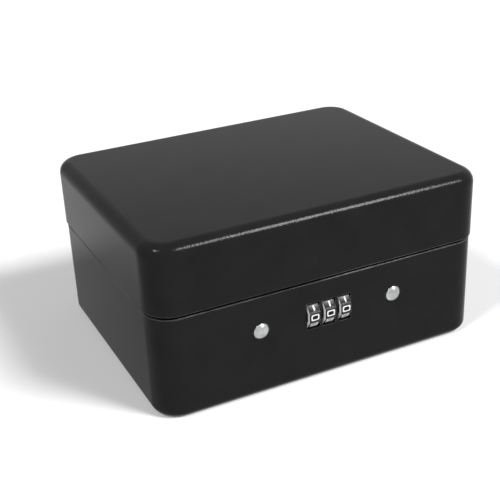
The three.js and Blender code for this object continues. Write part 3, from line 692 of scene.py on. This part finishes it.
# Profile of a pressed tray that is open at z 0: (inset, height) from the middle of its outside
# face, over its fillet, round the sheet's edge and back along the inside
def trayProfile(height, fillet, look):
    sheet, hold, edge, steps = look["sheet"], look["hold"], look["sheetEdge"], look["filletSteps"]
    inner = fillet - sheet
    profile = [(fillet + hold, height)]
    profile += [(fillet * (1 - s), height - fillet * c) for s, c in quarter(steps)]
    profile.append((0, height - fillet - hold))
    profile.append((0, edge + hold / 2))
    profile += [(edge * c, edge * (1 - s)) for s, c in quarter(look["edgeSteps"])]
    profile += [(sheet - edge * (1 - s), edge * c) for s, c in quarter(look["edgeSteps"])]
    profile.append((sheet, edge + hold / 2))
    profile.append((sheet, height - fillet - hold))
    profile += [(sheet + inner * c, height - sheet - inner * (1 - s)) for s, c in quarter(steps)]
    profile.append((fillet + hold, height - sheet))
    return profile


def makeTray(name, size, low, high, fillet, opensDown):
    look = caseLook
    rings = []
    for inset, z in trayProfile(high - low, fillet, look):
        level = low + z if opensDown else high - z
        rings.append(roundedRing(size, inset, level, look["hold"]))
    tray = loft(name, rings, powderCoat)
    tray.data.materials.append(edgeHighlightCoat)
    return tray


# The rounded edge of a tray's sheet gets the painted edge highlight
def paintEdgeHighlight(shell, level):
    for polygon in shell.data.polygons:
        if abs(polygon.center.z - level) < caseLook["edgeHighlightBand"]:
            polygon.material_index = edgeHighlightSlot


def centreOf(node):
    low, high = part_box(node)
    return (low + high) / 2


def holeCutter(name, node, radius, wall):
    centre = centreOf(node)
    return prismAlongY(name, circleOutline(centre.x, centre.z, radius), *wall)


# Cutters for the two rivets of each hinge leaf, through the rear wall
def rivetCutters(part, wallY):
    look = windowLook
    wall = (wallY - look["cutInside"], wallY + look["cutOutside"])
    cutters = []
    for side in ("left", "right"):
        for end in ("inner", "outer"):
            rivet = f"{side}_{part}_rivet_{end}"
            cutters.append(holeCutter("rivet cut", rivet, look["rivetHole"], wall))
    return cutters


def windowCutter(side, wall):
    look = windowLook
    dial = centreOf(f"{side}_dial")
    outline = roundedOutline(dial.x, dial.z, look["width"], look["height"], look["corner"])
    return prismAlongY("window cut", outline, *wall)


def makeBase():
    look = caseLook
    low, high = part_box("base_shell")
    inset = look["lidProud"]
    size = (look["half"][0] - inset, look["half"][1] - inset, look["corner"] - inset)
    shell = makeTray("base_tray", size, low.z, high.z, look["baseFillet"], opensDown=False)
    wall = (low.y - windowLook["cutOutside"], low.y + windowLook["cutInside"])
    cutters = [windowCutter(side, wall) for side in ("left", "middle", "right")]
    for side in ("left", "right"):
        cap = f"{side}_button_cap"
        cutters.append(holeCutter("button cut", cap, windowLook["buttonHole"], wall))
    cutOut(shell, cutters + rivetCutters("base", high.y))
    # The rounded edges of the windows and holes get the painted edge highlight
    softenEdges(shell, look["cutEdge"], edgeHighlightSlot)
    applyModifiers(shell)
    paintEdgeHighlight(shell, high.z)
    return place(shell, "case", ["base_shell"])


def makeLid():
    look = caseLook
    low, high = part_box("lid_shell")
    size = (*look["half"], look["corner"])
    shell = makeTray("lid_tray", size, low.z, high.z, look["lidFillet"], opensDown=True)
    cutOut(shell, rivetCutters("lid", high.y))
    # The rounded edges of the rivet holes get the painted edge highlight
    softenEdges(shell, look["cutEdge"], edgeHighlightSlot)
    applyModifiers(shell)
    paintEdgeHighlight(shell, low.z)
    return place(shell, "lid", ["lid_shell"])


# The rim inside the base: one strip whose rolled top edge has the painted edge highlight
def makeRim():
    look = caseLook
    low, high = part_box("base_rim")
    sheet, edge, hold, steps = look["sheet"], look["rimEdge"], look["hold"], look["edgeSteps"]
    radius = look["corner"] - (look["half"][0] - high.x)
    size = (high.x, high.y, radius)
    profile = [(0, low.z), (0, low.z + hold), (0, high.z - edge - hold)]
    profile += [(edge * c, high.z - edge * (1 - s)) for s, c in quarter(steps)]
    profile += [(sheet - edge * (1 - s), high.z - edge * c) for s, c in quarter(steps)]
    profile += [(sheet, high.z - edge - hold), (sheet, low.z + hold), (sheet, low.z)]
    rings = [roundedRing(size, inset, z, hold) for inset, z in profile]
    rim = loft("rolled_rim", rings, powderCoat, closed=True)
    rim.data.materials.append(edgeHighlightCoat)
    for polygon in rim.data.polygons:
        if polygon.center.z > high.z - edge:
            polygon.material_index = edgeHighlightSlot
    return place(rim, "case", ["base_rim"])


makeBase()
makeLid()
makeRim()
print("steel case ready")


# Foam mat with soft edges and slight dips
matLook = {
    "corner": 7.7 * mm,
    "hold": 0.9 * mm,
    "edge": 1.3 * mm,
    "edgeSteps": 7,
    "lowEdge": 0.39 * mm,
    "lowEdgeSteps": 3,
    "dip": 0.16 * mm,
    "dipSize": 21 * mm,
    "dipPlace": 3.7,
    "dipAbove": 1 * mm,
    "ringStep": 2.2 * mm,
    "flatRings": 24,
    "sharpAngle": 70,
}


def makeMat():
    look = matLook
    low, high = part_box("floor_mat")
    size = (high.x, high.y, look["corner"])
    edge, lowEdge = look["edge"], look["lowEdge"]
    levels = [(lowEdge, low.z)]
    for s, c in quarter(look["lowEdgeSteps"]):
        levels.append((lowEdge * (1 - s), low.z + lowEdge * c))
    for s, c in quarter(look["edgeSteps"]):
        levels.append((edge * c, high.z - edge * (1 - s)))
    inner = int((look["corner"] - edge) / look["ringStep"])
    levels += [(edge + i * look["ringStep"], high.z) for i in range(1, inner + 1)]
    rings = [roundedRing(size, inset, z, look["hold"]) for inset, z in levels]
    flat = rings[-1]
    for i in range(1, look["flatRings"]):
        share = 1 - i / look["flatRings"]
        rings.append([Vector((p.x * share, p.y * share, p.z)) for p in flat])
    for ring in rings:
        for point in ring:
            wave = noise.noise(Vector((point.x, point.y, look["dipPlace"])) / look["dipSize"])
            if point.z > low.z + look["dipAbove"]:
                point.z -= look["dip"] * (1 + wave) / 2
    mat = loft("foam_mat", rings, foam, sharpAngle=look["sharpAngle"])
    place(mat, "case", ["floor_mat"])
    return mat


makeMat()
print("foam mat ready")


# Number dials: drums with ten gently curved faces and thin ridges, glossy black, with a light side
# band that is a bare rim and a painted glint
dialLook = {
    "radius": 7.2 * mm,
    "faces": 10,
    "faceDepth": 0.25 * mm,
    "faceHollow": 0.140 * mm,
    "faceSteps": 8,
    "ridge": 0.55 * mm,
    "ridgeRound": 0.24 * mm,
    "ridgeSteps": 3,
    "ridgeHighlightShare": 0.2,
    "sideRound": 0.2 * mm,
    "sideSteps": 5,
    "sideHold": 0.5 * mm,
    "bareAndGlintBand": 1.45 * mm,
    "bandHold": 0.1 * mm,
    "bore": 3.1 * mm,
    "boreEdge": 0.2 * mm,
    "keyway": 4.0 * mm,
    "keywayHalf": 0.9 * mm,
    "sidewaysMore": 0.6,
    "outwardLess": 0.3,
    "sharpAngle": 50,
}
# Second slot: the light side band, a bare rim and painted glint; third: the painted ridge
# highlight
bareSideAndGlintSlot, ridgeHighlightSlot = 1, 2  # the dials' second and third material slots

# Digits drawn on five rows of three cells, each cell a stroke or a gap
digitRows = {
    0: ("111", "101", "101", "101", "111"),
    1: ("010", "010", "010", "010", "010"),
    2: ("111", "001", "111", "100", "111"),
    3: ("111", "001", "111", "001", "111"),
    4: ("101", "101", "111", "001", "001"),
    5: ("111", "100", "111", "001", "111"),
    6: ("111", "100", "111", "101", "111"),
    7: ("111", "001", "001", "001", "001"),
    8: ("111", "101", "111", "101", "111"),
    9: ("111", "101", "111", "001", "111"),
}

digitLook = {
    "width": 3.8 * mm,
    "height": 2.75 * mm,
    "stroke": 0.56 * mm,
    "crossStroke": 0.50 * mm,
    "single": 0.66 * mm,
    "round": 0.26 * mm,
    "roundSteps": 4,
    "shift": 0.15 * mm,
    "raise": 0.05 * mm,
    "sink": 0.03 * mm,
}


# How far out a face lies at an angle from its middle, where it is flatter than the drum
def faceReach(turn):
    look = dialLook
    half = math.pi / look["faces"] - look["ridge"] / look["radius"]
    hollow = look["faceHollow"] * max(0, 1 - (turn / half) ** 2)
    return look["radius"] - look["faceDepth"] - hollow


def dialOutline():
    look = dialLook
    ridgeHalf = look["ridge"] / 2 / look["radius"]
    step = 2 * math.pi / look["faces"]
    corners = []
    faceHalf = step / 2 - 2 * ridgeHalf
    for digit in range(look["faces"]):
        middle = math.pi + digit * step
        ridge = middle + step / 2
        for k in range(look["faceSteps"] + 1):
            turn = faceHalf * (2 * k / look["faceSteps"] - 1)
            corners.append((faceReach(turn), middle + turn))
        corners += [(look["radius"], ridge - ridgeHalf), (look["radius"], ridge + ridgeHalf)]
    points = [Vector((r * math.cos(a), r * math.sin(a))) for r, a in corners]
    return roundCorners(points, look["ridgeRound"], look["ridgeSteps"])


# Rounds each corner of a closed outline and keeps a point beside it on either side
def roundCorners(points, reach, steps, mostShare=0.4):
    rounded = []
    for i, corner in enumerate(points):
        before, after = points[i - 1], points[(i + 1) % len(points)]
        back, ahead = before - corner, after - corner
        start = corner + back.normalized() * min(reach, back.length * mostShare)
        end = corner + ahead.normalized() * min(reach, ahead.length * mostShare)
        for k in range(steps + 1):
            t = k / steps
            rounded.append(start * (1 - t) ** 2 + corner * 2 * t * (1 - t) + end * t ** 2)
    return rounded


# The bore with its keyway at the bottom, one point for each point of the drum's outline
def boreOutline(outline):
    look = dialLook
    bore = []
    halfAngle = math.asin(look["keywayHalf"] / look["keyway"])
    for point in outline:
        angle = math.atan2(point.y, point.x)
        fromBottom = abs((angle + 1.5 * math.pi) % (2 * math.pi) - math.pi)
        radius = look["keyway"] if fromBottom < halfAngle else look["bore"]
        bore.append(Vector((radius * math.cos(angle), radius * math.sin(angle))))
    return bore


def makeDial(side):
    look = dialLook
    low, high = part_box(f"{side}_dial")
    centre = (low + high) / 2
    outline = dialOutline()
    bore = boreOutline(outline)

    def ring(points, x, shrink=0.0):
        made = []
        for p in points:
            out = p * (1 - shrink / p.length)
            made.append(Vector((x, centre.y + out.x, centre.z + out.y)))
        return made

    soft, boreEdge, band = look["sideRound"], look["boreEdge"], look["bareAndGlintBand"]
    steps = look["sideSteps"]
    inward = (band + look["bandHold"], band, soft + look["sideHold"])
    rings = [ring(bore, low.x + boreEdge), ring(bore, low.x, -boreEdge)]
    rings += [ring(outline, low.x, shrink) for shrink in inward]
    rings += [ring(outline, low.x + soft * c, soft * (1 - s)) for s, c in quarter(steps)]
    rings += [ring(outline, high.x - soft * (1 - s), soft * c) for s, c in quarter(steps)]
    rings += [ring(outline, high.x, shrink) for shrink in reversed(inward)]
    rings += [ring(bore, high.x, -boreEdge), ring(bore, high.x - boreEdge)]
    dial = loft(f"{side}_number_dial", rings, dialPlastic, True, look["sharpAngle"])
    dial.data.materials.append(dialBareSideAndGlint)
    dial.data.materials.append(dialRidgeHighlight)
    bareAndGlintFrom = look["radius"] - band - look["faceDepth"]
    ridgeHighlightFrom = look["radius"] - look["faceDepth"] * look["ridgeHighlightShare"]
    for polygon in dial.data.polygons:
        away = Vector((0, polygon.center.y - centre.y, polygon.center.z - centre.z)).length
        sideways = abs(polygon.normal.x)
        # Only the outer side band, outside the window's shaded recess, gets the light colour: a
        # bare rim and a painted glint
        if sideways > look["sidewaysMore"] and away > bareAndGlintFrom:
            polygon.material_index = bareSideAndGlintSlot
        # The ridge crests get the painted highlight
        elif sideways < look["outwardLess"] and away > ridgeHighlightFrom:
            polygon.material_index = ridgeHighlightSlot
    place(dial, f"{side}_dial_body", [f"{side}_dial"])
    return makeDigits(side, centre)


# One digit as a flat shape in its own plane, raised by the paint's thickness
def digitMesh(digit):
    look = digitLook
    half, cross = look["width"] / 2, look["crossStroke"]
    inner = look["single"] / 2 if digit == 1 else half - look["stroke"]
    xs = [-half, -inner, inner, half]
    gap = (look["height"] - 3 * cross) / 2
    zs = [look["height"] / 2]
    for part in (cross, gap, cross, gap, cross):
        zs.append(zs[-1] - part)
    shape = bmesh.new()
    grid = {}

    def corner(i, j):
        if (i, j) not in grid:
            grid[i, j] = shape.verts.new((xs[i], zs[j], 0))
        return grid[i, j]

    for row, cells in enumerate(digitRows[digit]):
        for column, cell in enumerate(cells):
            if cell == "1":
                shape.faces.new([
                    corner(column, row), corner(column, row + 1),
                    corner(column + 1, row + 1), corner(column + 1, row),
                ])
    outer = [v for v in shape.verts if isCorner(v)]
    bmesh.ops.bevel(shape, geom=outer, offset=look["round"], segments=look["roundSteps"],
                    affect="VERTICES", clamp_overlap=True)
    top = bmesh.ops.extrude_face_region(shape, geom=list(shape.faces))
    lifted = [g for g in top["geom"] if isinstance(g, bmesh.types.BMVert)]
    bmesh.ops.translate(shape, verts=lifted, vec=(0, 0, look["raise"] + look["sink"]))
    bmesh.ops.recalc_face_normals(shape, faces=shape.faces)
    return shape


# A vertex where the digit's outline turns; inLine is the cosine from which it counts as straight
def isCorner(vertex, inLine=0.5):
    rim = [e for e in vertex.link_edges if e.is_boundary]
    if len(rim) != 2:
        return False
    ways = [(e.other_vert(vertex).co - vertex.co).normalized() for e in rim]
    return abs(ways[0].dot(ways[1])) < inLine


def makeDigits(side, centre):
    look = digitLook
    face = faceReach(0)
    step = 2 * math.pi / dialLook["faces"]
    whole = bmesh.new()
    for digit in range(dialLook["faces"]):
        angle = math.pi - digit * step
        normal = Vector((0, math.cos(angle), math.sin(angle)))
        up = Vector((0, math.sin(angle), -math.cos(angle)))
        shape = digitMesh(digit)
        for vertex in shape.verts:
            across, along, out = vertex.co
            bend = along / face
            reach = faceReach(bend) - look["sink"] + out
            shifted = centre + Vector((across + look["shift"], 0, 0))
            vertex.co = shifted + (normal * math.cos(bend) + up * math.sin(bend)) * reach
        made = bpy.data.meshes.new("digit")
        shape.to_mesh(made)
        shape.free()
        whole.from_mesh(made)
        bpy.data.meshes.remove(made)
    mesh = bpy.data.meshes.new(f"{side}_digits")
    whole.to_mesh(mesh)
    whole.free()
    digits = newObject(f"{side}_digits", mesh, digitPaint)
    return place(digits, f"{side}_dial_body")


for side in ("left", "middle", "right"):
    makeDial(side)
print("dials ready")


# Push buttons with a dome that is part of a ball
buttonLook = {
    "radius": 3.6 * mm,
    "dome": 1.7 * mm,
    "domeSteps": 18,
    "rimRound": 0.12 * mm,
    "rimTuck": 0.3,
    "backRound": 0.2 * mm,
    "sides": 64,
}


def makeButton(side):
    look = buttonLook
    low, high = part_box(f"{side}_button_cap")
    centre = (low + high) / 2
    radius, back, rim = look["radius"], look["backRound"], look["rimRound"]
    collarY = low.y + look["dome"]
    profile = [(tipRadius, high.y), (radius - back, high.y), (radius, high.y - back)]
    tuck = rim * look["rimTuck"]
    profile += [(radius, collarY + rim), (radius - tuck, collarY + tuck)]
    ball = (radius ** 2 + look["dome"] ** 2) / 2 / look["dome"]
    steps = look["domeSteps"]
    for i in range(1, steps):
        out = radius * math.cos(i / steps * math.pi / 2)
        profile.append((out, low.y + ball - math.sqrt(ball ** 2 - out ** 2)))
    profile.append((tipRadius, low.y))
    middle = (centre.x, 0, centre.z)
    cap = lathe(f"{side}_push_button", profile, middle, chrome, look["sides"])
    return place(cap, f"{side}_button_body", [f"{side}_button_cap"])


# Domed rivets: pan head outside, set tail inside. The taper, tip, round and rise are shares of the
# head's or the tail's size.
rivetLook = {
    "shank": 1.5 * mm,
    "head": 2.6 * mm,
    "headHeight": 1 * mm,
    "headUnderside": 0.08 * mm,
    "headEdge": (0.1 * mm, 0.2 * mm),
    "headTaper": 0.85,
    "headSteps": 8,
    "tail": 2.3 * mm,
    "tailHeight": 0.8 * mm,
    "tailFlat": 0.05 * mm,
    "tailTip": 0.5,
    "tailRound": (0.6, 0.4),
    "tailRise": (0.12, 0.7),
    "tailSteps": 5,
    "sides": 36,
}


def makeRivet(part, side, end, body):
    look = rivetLook
    node = f"{side}_{part}_rivet_{end}"
    low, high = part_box(node)
    centre = (low + high) / 2
    shank, head, tail = look["shank"], look["head"], look["tail"]
    headHeight, tailHeight = look["headHeight"], look["tailHeight"]
    tailTop, seat = low.y + tailHeight, high.y - headHeight
    inner, spread = look["tailRound"]
    foot, rise = look["tailRise"]
    profile = [(tipRadius, low.y), (tail * look["tailTip"], low.y + look["tailFlat"])]
    for s, c in quarter(look["tailSteps"]):
        profile.append((tail * (inner + spread * s), low.y + tailHeight * (foot + rise * c)))
    profile += [(tail, tailTop), (shank, tailTop), (shank, seat)]
    lowEdge, highEdge = look["headEdge"]
    profile += [(head - look["headUnderside"], seat), (head, seat + lowEdge)]
    taper = look["headTaper"]
    for s, c in quarter(look["headSteps"]):
        out = head * (1 - taper * s - (1 - taper) * s * s)
        profile.append((out, seat + highEdge + (headHeight - highEdge) * math.sqrt(s)))
    profile[-1] = (tipRadius, high.y)
    middle = (centre.x, 0, centre.z)
    rivet = lathe(f"{node}_domed", profile, middle, zincPlate, look["sides"])
    return place(rivet, body, [node])


for side in ("left", "right"):
    makeButton(side)
    for end in ("inner", "outer"):
        makeRivet("base", side, end, "case")
        makeRivet("lid", side, end, "lid")
print("buttons and rivets ready")


# Coil springs, and the bowed spring over the lock bar
springLook = {
    "wire": 0.3 * mm,
    "wireSides": 10,
    "sharpAngle": 60,
    "coil": 2.2 * mm,
    "turns": 6,
    "stepsPerTurn": 20,
    "closedEnds": 0.35,
    "travel": 2.5 * mm,
    "strip": 0.25 * mm,
    "bowSteps": 30,
    "barTravel": 1.4 * mm,
    "leastKept": 0.05,
}


def makeCoil(side):
    look = springLook
    low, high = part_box(f"{side}_return_spring")
    centre = (low + high) / 2
    start, end = low.y + look["wire"], high.y - look["wire"]
    count = look["turns"] * look["stepsPerTurn"]
    path = []
    for i in range(count + 1):
        t = i / count
        angle = t * look["turns"] * 2 * math.pi
        ease = t + look["closedEnds"] * (t * t * (3 - 2 * t) - t)
        path.append(Vector((
            centre.x + look["coil"] * math.cos(angle),
            start + ease * (end - start),
            centre.z + look["coil"] * math.sin(angle),
        )))
    coil = wire(f"{side}_coil_spring", path, look["wire"], springSteel,
                look["wireSides"], look["sharpAngle"])
    place(coil, "case", [f"{side}_return_spring"])
    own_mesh(coil)


def makeBowSpring():
    look = springLook
    low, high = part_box("bar_spring")
    rings = []
    crest = high.z - look["strip"]
    for i in range(look["bowSteps"] + 1):
        share = i / look["bowSteps"]
        x = low.x + (high.x - low.x) * share
        bottom = crest - (crest - low.z) * (2 * share - 1) ** 2
        top = bottom + look["strip"]
        corners = ((low.y, bottom), (high.y, bottom), (high.y, top), (low.y, top))
        rings.append([Vector((x, y, z)) for y, z in corners])
    bow = loft("bowed_bar_spring", rings, springSteel)
    place(bow, "case", ["bar_spring"])
    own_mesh(bow)


for side in ("left", "right"):
    makeCoil(side)
makeBowSpring()
print("springs ready")


# CAD nodes that keep their shape: soft edges as modifiers, and a finish each
nodeFinish = {
    "black_powder_coat": powderCoat,
    "polished_chrome": chrome,
    "zinc_plated_steel": zincPlate,
    "spring_steel": springSteel,
    "black_dial_plastic": dialPlastic,
    "black_housing_plastic": housingPlastic,
}
edgeWidths = {
    "hinge_base_leaf": 0.22 * mm,
    "hinge_lid_leaf": 0.22 * mm,
    "hinge_pin": 0.18 * mm,
    "striker": 0.14 * mm,
    "catch": 0.12 * mm,
    "code_sleeve": 0.10 * mm,
    "dial_shaft": 0.15 * mm,
    "lock_bar": 0.10 * mm,
    "lock_housing": 0.22 * mm,
    "lock_cover": 0.12 * mm,
    "cover_screw": 0.14 * mm,
    "weld_stud": 0.15 * mm,
    "stud_nut": 0.20 * mm,
    "click_spring": 0.05 * mm,
    "change_lever": 0.22 * mm,
}


softNodeLook = {
    "weld": 0.002 * mm,
    "flatAngle": 1,
    "bevelAngle": 32,
    "bevelSegments": 2,
    "smoothAngle": 30,
}


# A small modifier tree that shades round surfaces smooth and keeps edges above the angle sharp
def makeSmoothTree(angle):
    tree = bpy.data.node_groups.new("smooth by angle", "GeometryNodeTree")
    tree.interface.new_socket("Geometry", in_out="INPUT", socket_type="NodeSocketGeometry")
    tree.interface.new_socket("Geometry", in_out="OUTPUT", socket_type="NodeSocketGeometry")
    given, result = tree.nodes.new("NodeGroupInput"), tree.nodes.new("NodeGroupOutput")
    faces = tree.nodes.new("GeometryNodeSetShadeSmooth")
    faces.domain = "FACE"
    edges = tree.nodes.new("GeometryNodeSetShadeSmooth")
    edges.domain = "EDGE"
    bend = tree.nodes.new("GeometryNodeInputMeshEdgeAngle")
    gentle = tree.nodes.new("FunctionNodeCompare")
    gentle.operation = "LESS_THAN"
    gentle.inputs[1].default_value = math.radians(angle)
    tree.links.new(given.outputs[0], faces.inputs["Geometry"])
    tree.links.new(faces.outputs[0], edges.inputs["Geometry"])
    tree.links.new(bend.outputs["Unsigned Angle"], gentle.inputs[0])
    tree.links.new(gentle.outputs[0], edges.inputs["Shade Smooth"])
    tree.links.new(edges.outputs[0], result.inputs[0])
    return tree


smoothTree = makeSmoothTree(softNodeLook["smoothAngle"])


def softenNode(node, width):
    look = softNodeLook
    weld = node.modifiers.new("weld", "WELD")
    weld.merge_threshold = look["weld"]
    flat = node.modifiers.new("flat faces", "DECIMATE")
    flat.decimate_type = "DISSOLVE"
    flat.angle_limit = math.radians(look["flatAngle"])
    soft = node.modifiers.new("soft edges", "BEVEL")
    soft.width = width
    soft.segments = look["bevelSegments"]
    soft.limit_method = "ANGLE"
    soft.angle_limit = math.radians(look["bevelAngle"])
    smooth = node.modifiers.new("smooth", "NODES")
    smooth.node_group = smoothTree
    node.modifiers.new("shade", "WEIGHTED_NORMAL").keep_sharp = True


for name, node in nodes.items():
    if node.hide_render:
        continue
    slot = node.material_slots[0]
    slotName = slot.material.name.split(".")[0]
    slot.link = "OBJECT"
    slot.material = nodeFinish[slotName]
    kind = next((k for k in edgeWidths if name.endswith(k)), None)
    if kind:
        softenNode(node, edgeWidths[kind])
print("kept CAD nodes ready")


# Studio: pale floor, a soft key with a narrower core from the front right, a smaller lamp from
# the left, white surroundings
studioLook = {
    "floorHalf": 6.0,
    "floorDrop": 0.05 * mm,
    "floorColor": (0.80, 0.80, 0.80),
    "floorVariation": 1.02,
    "floorGrain": 2 * mm,
    "floorPatches": 300 * mm,
    "floorGlow": 0.15,
    "worldFill": 0.20,
    "keyWay": (0.45, -0.55, 0.703),
    "keyStrength": 0.8,
    "keyAngle": 24,
    "coreStrength": 2.4,
    "coreAngle": 16,
    "sideWay": (-0.578, -0.181, 0.796),
    "sideStrength": 1.2,
    "sideAngle": 9,
}


# 1 where a camera, glossy or transmission ray looks
def seenRays(tree):
    path = tree.nodes.new("ShaderNodeLightPath").outputs
    seen = mathNode(tree, "MAXIMUM", path["Is Camera Ray"], path["Is Glossy Ray"])
    return mathNode(tree, "MAXIMUM", seen, path["Is Transmission Ray"])


def makeFloor():
    look = studioLook
    half = look["floorHalf"]
    corners = [(-half, -half, 0), (half, -half, 0), (half, half, 0), (-half, half, 0)]
    material = bpy.data.materials.new("pale floor")
    material.use_nodes = True
    tree = material.node_tree
    tree.nodes.clear()
    grain = useGroup(tree, grainGroup,
                     Grain_Size=look["floorGrain"], Patch_Size=look["floorPatches"])
    lighter = [c * look["floorVariation"] for c in look["floorColor"]]
    tone = blendColors(tree, grain["Patch"], look["floorColor"], lighter)
    matte = addNode(tree, "ShaderNodeBsdfDiffuse", {"Color": tone})
    strength = mathNode(tree, "MULTIPLY", seenRays(tree), look["floorGlow"])
    glow = addNode(tree, "ShaderNodeEmission", {"Color": (1, 1, 1, 1), "Strength": strength})
    both = tree.nodes.new("ShaderNodeAddShader")
    tree.links.new(matte.outputs[0], both.inputs[0])
    tree.links.new(glow.outputs[0], both.inputs[1])
    result = tree.nodes.new("ShaderNodeOutputMaterial")
    tree.links.new(both.outputs[0], result.inputs["Surface"])
    floor = newPiece("floor", corners, [(0, 1, 2, 3)], material)
    floor.location.z = -look["floorDrop"]


def makeWorld():
    world = bpy.data.worlds.new("studio")
    scene.world = world
    world.use_nodes = True
    tree = world.node_tree
    background = tree.nodes["Background"]
    background.inputs["Color"].default_value = (1, 1, 1, 1)
    strength = remap(tree, seenRays(tree), 0.0, 1.0, studioLook["worldFill"], 1.0)
    tree.links.new(strength, background.inputs["Strength"])


def makeSun(name, way, strength, angle):
    lamp = bpy.data.lights.new(name, "SUN")
    lamp.energy = strength
    lamp.angle = math.radians(angle)
    sun = bpy.data.objects.new(name, lamp)
    sun.rotation_mode = "QUATERNION"
    sun.rotation_quaternion = Vector(way).to_track_quat("Z", "Y")
    scene.collection.objects.link(sun)


# Camera fitted to the photograph's outline, seam, buttons and windows
cameraLook = {
    "azimuth": -25.28,
    "elevation": 25.50,
    "roll": -2.60,
    "distance": 0.4666,
    "target": (-0.00664, 0.0, 0.03687),
    "focalPixels": 977.8,
    "framePixels": 500,
    "sensor": 36.0,
    "clip": (0.01, 50),
}


def makeCamera():
    look = cameraLook
    azimuth, elevation, roll = (math.radians(look[k]) for k in ("azimuth", "elevation", "roll"))
    back = Vector((
        math.sin(azimuth) * math.cos(elevation),
        -math.cos(azimuth) * math.cos(elevation),
        math.sin(elevation),
    ))
    right = (-back).cross(Vector((0, 0, 1))).normalized()
    up = right.cross(-back)
    rolledRight = right * math.cos(roll) + up * math.sin(roll)
    rolledUp = up * math.cos(roll) - right * math.sin(roll)
    lens = bpy.data.cameras.new("camera")
    lens.sensor_width = look["sensor"]
    lens.lens = look["focalPixels"] * look["sensor"] / look["framePixels"]
    lens.clip_start, lens.clip_end = look["clip"]
    camera = bpy.data.objects.new("camera", lens)
    turn = Matrix((rolledRight, rolledUp, back)).transposed()
    position = Matrix.Translation(Vector(look["target"]) + back * look["distance"])
    camera.matrix_world = position @ turn.to_4x4()
    scene.collection.objects.link(camera)
    scene.camera = camera


makeFloor()
makeWorld()
makeSun("key", studioLook["keyWay"], studioLook["keyStrength"], studioLook["keyAngle"])
makeSun("core", studioLook["keyWay"], studioLook["coreStrength"], studioLook["coreAngle"])
makeSun("side", studioLook["sideWay"], studioLook["sideStrength"], studioLook["sideAngle"])
makeCamera()
scene.view_settings.view_transform = "Standard"
print("studio ready")
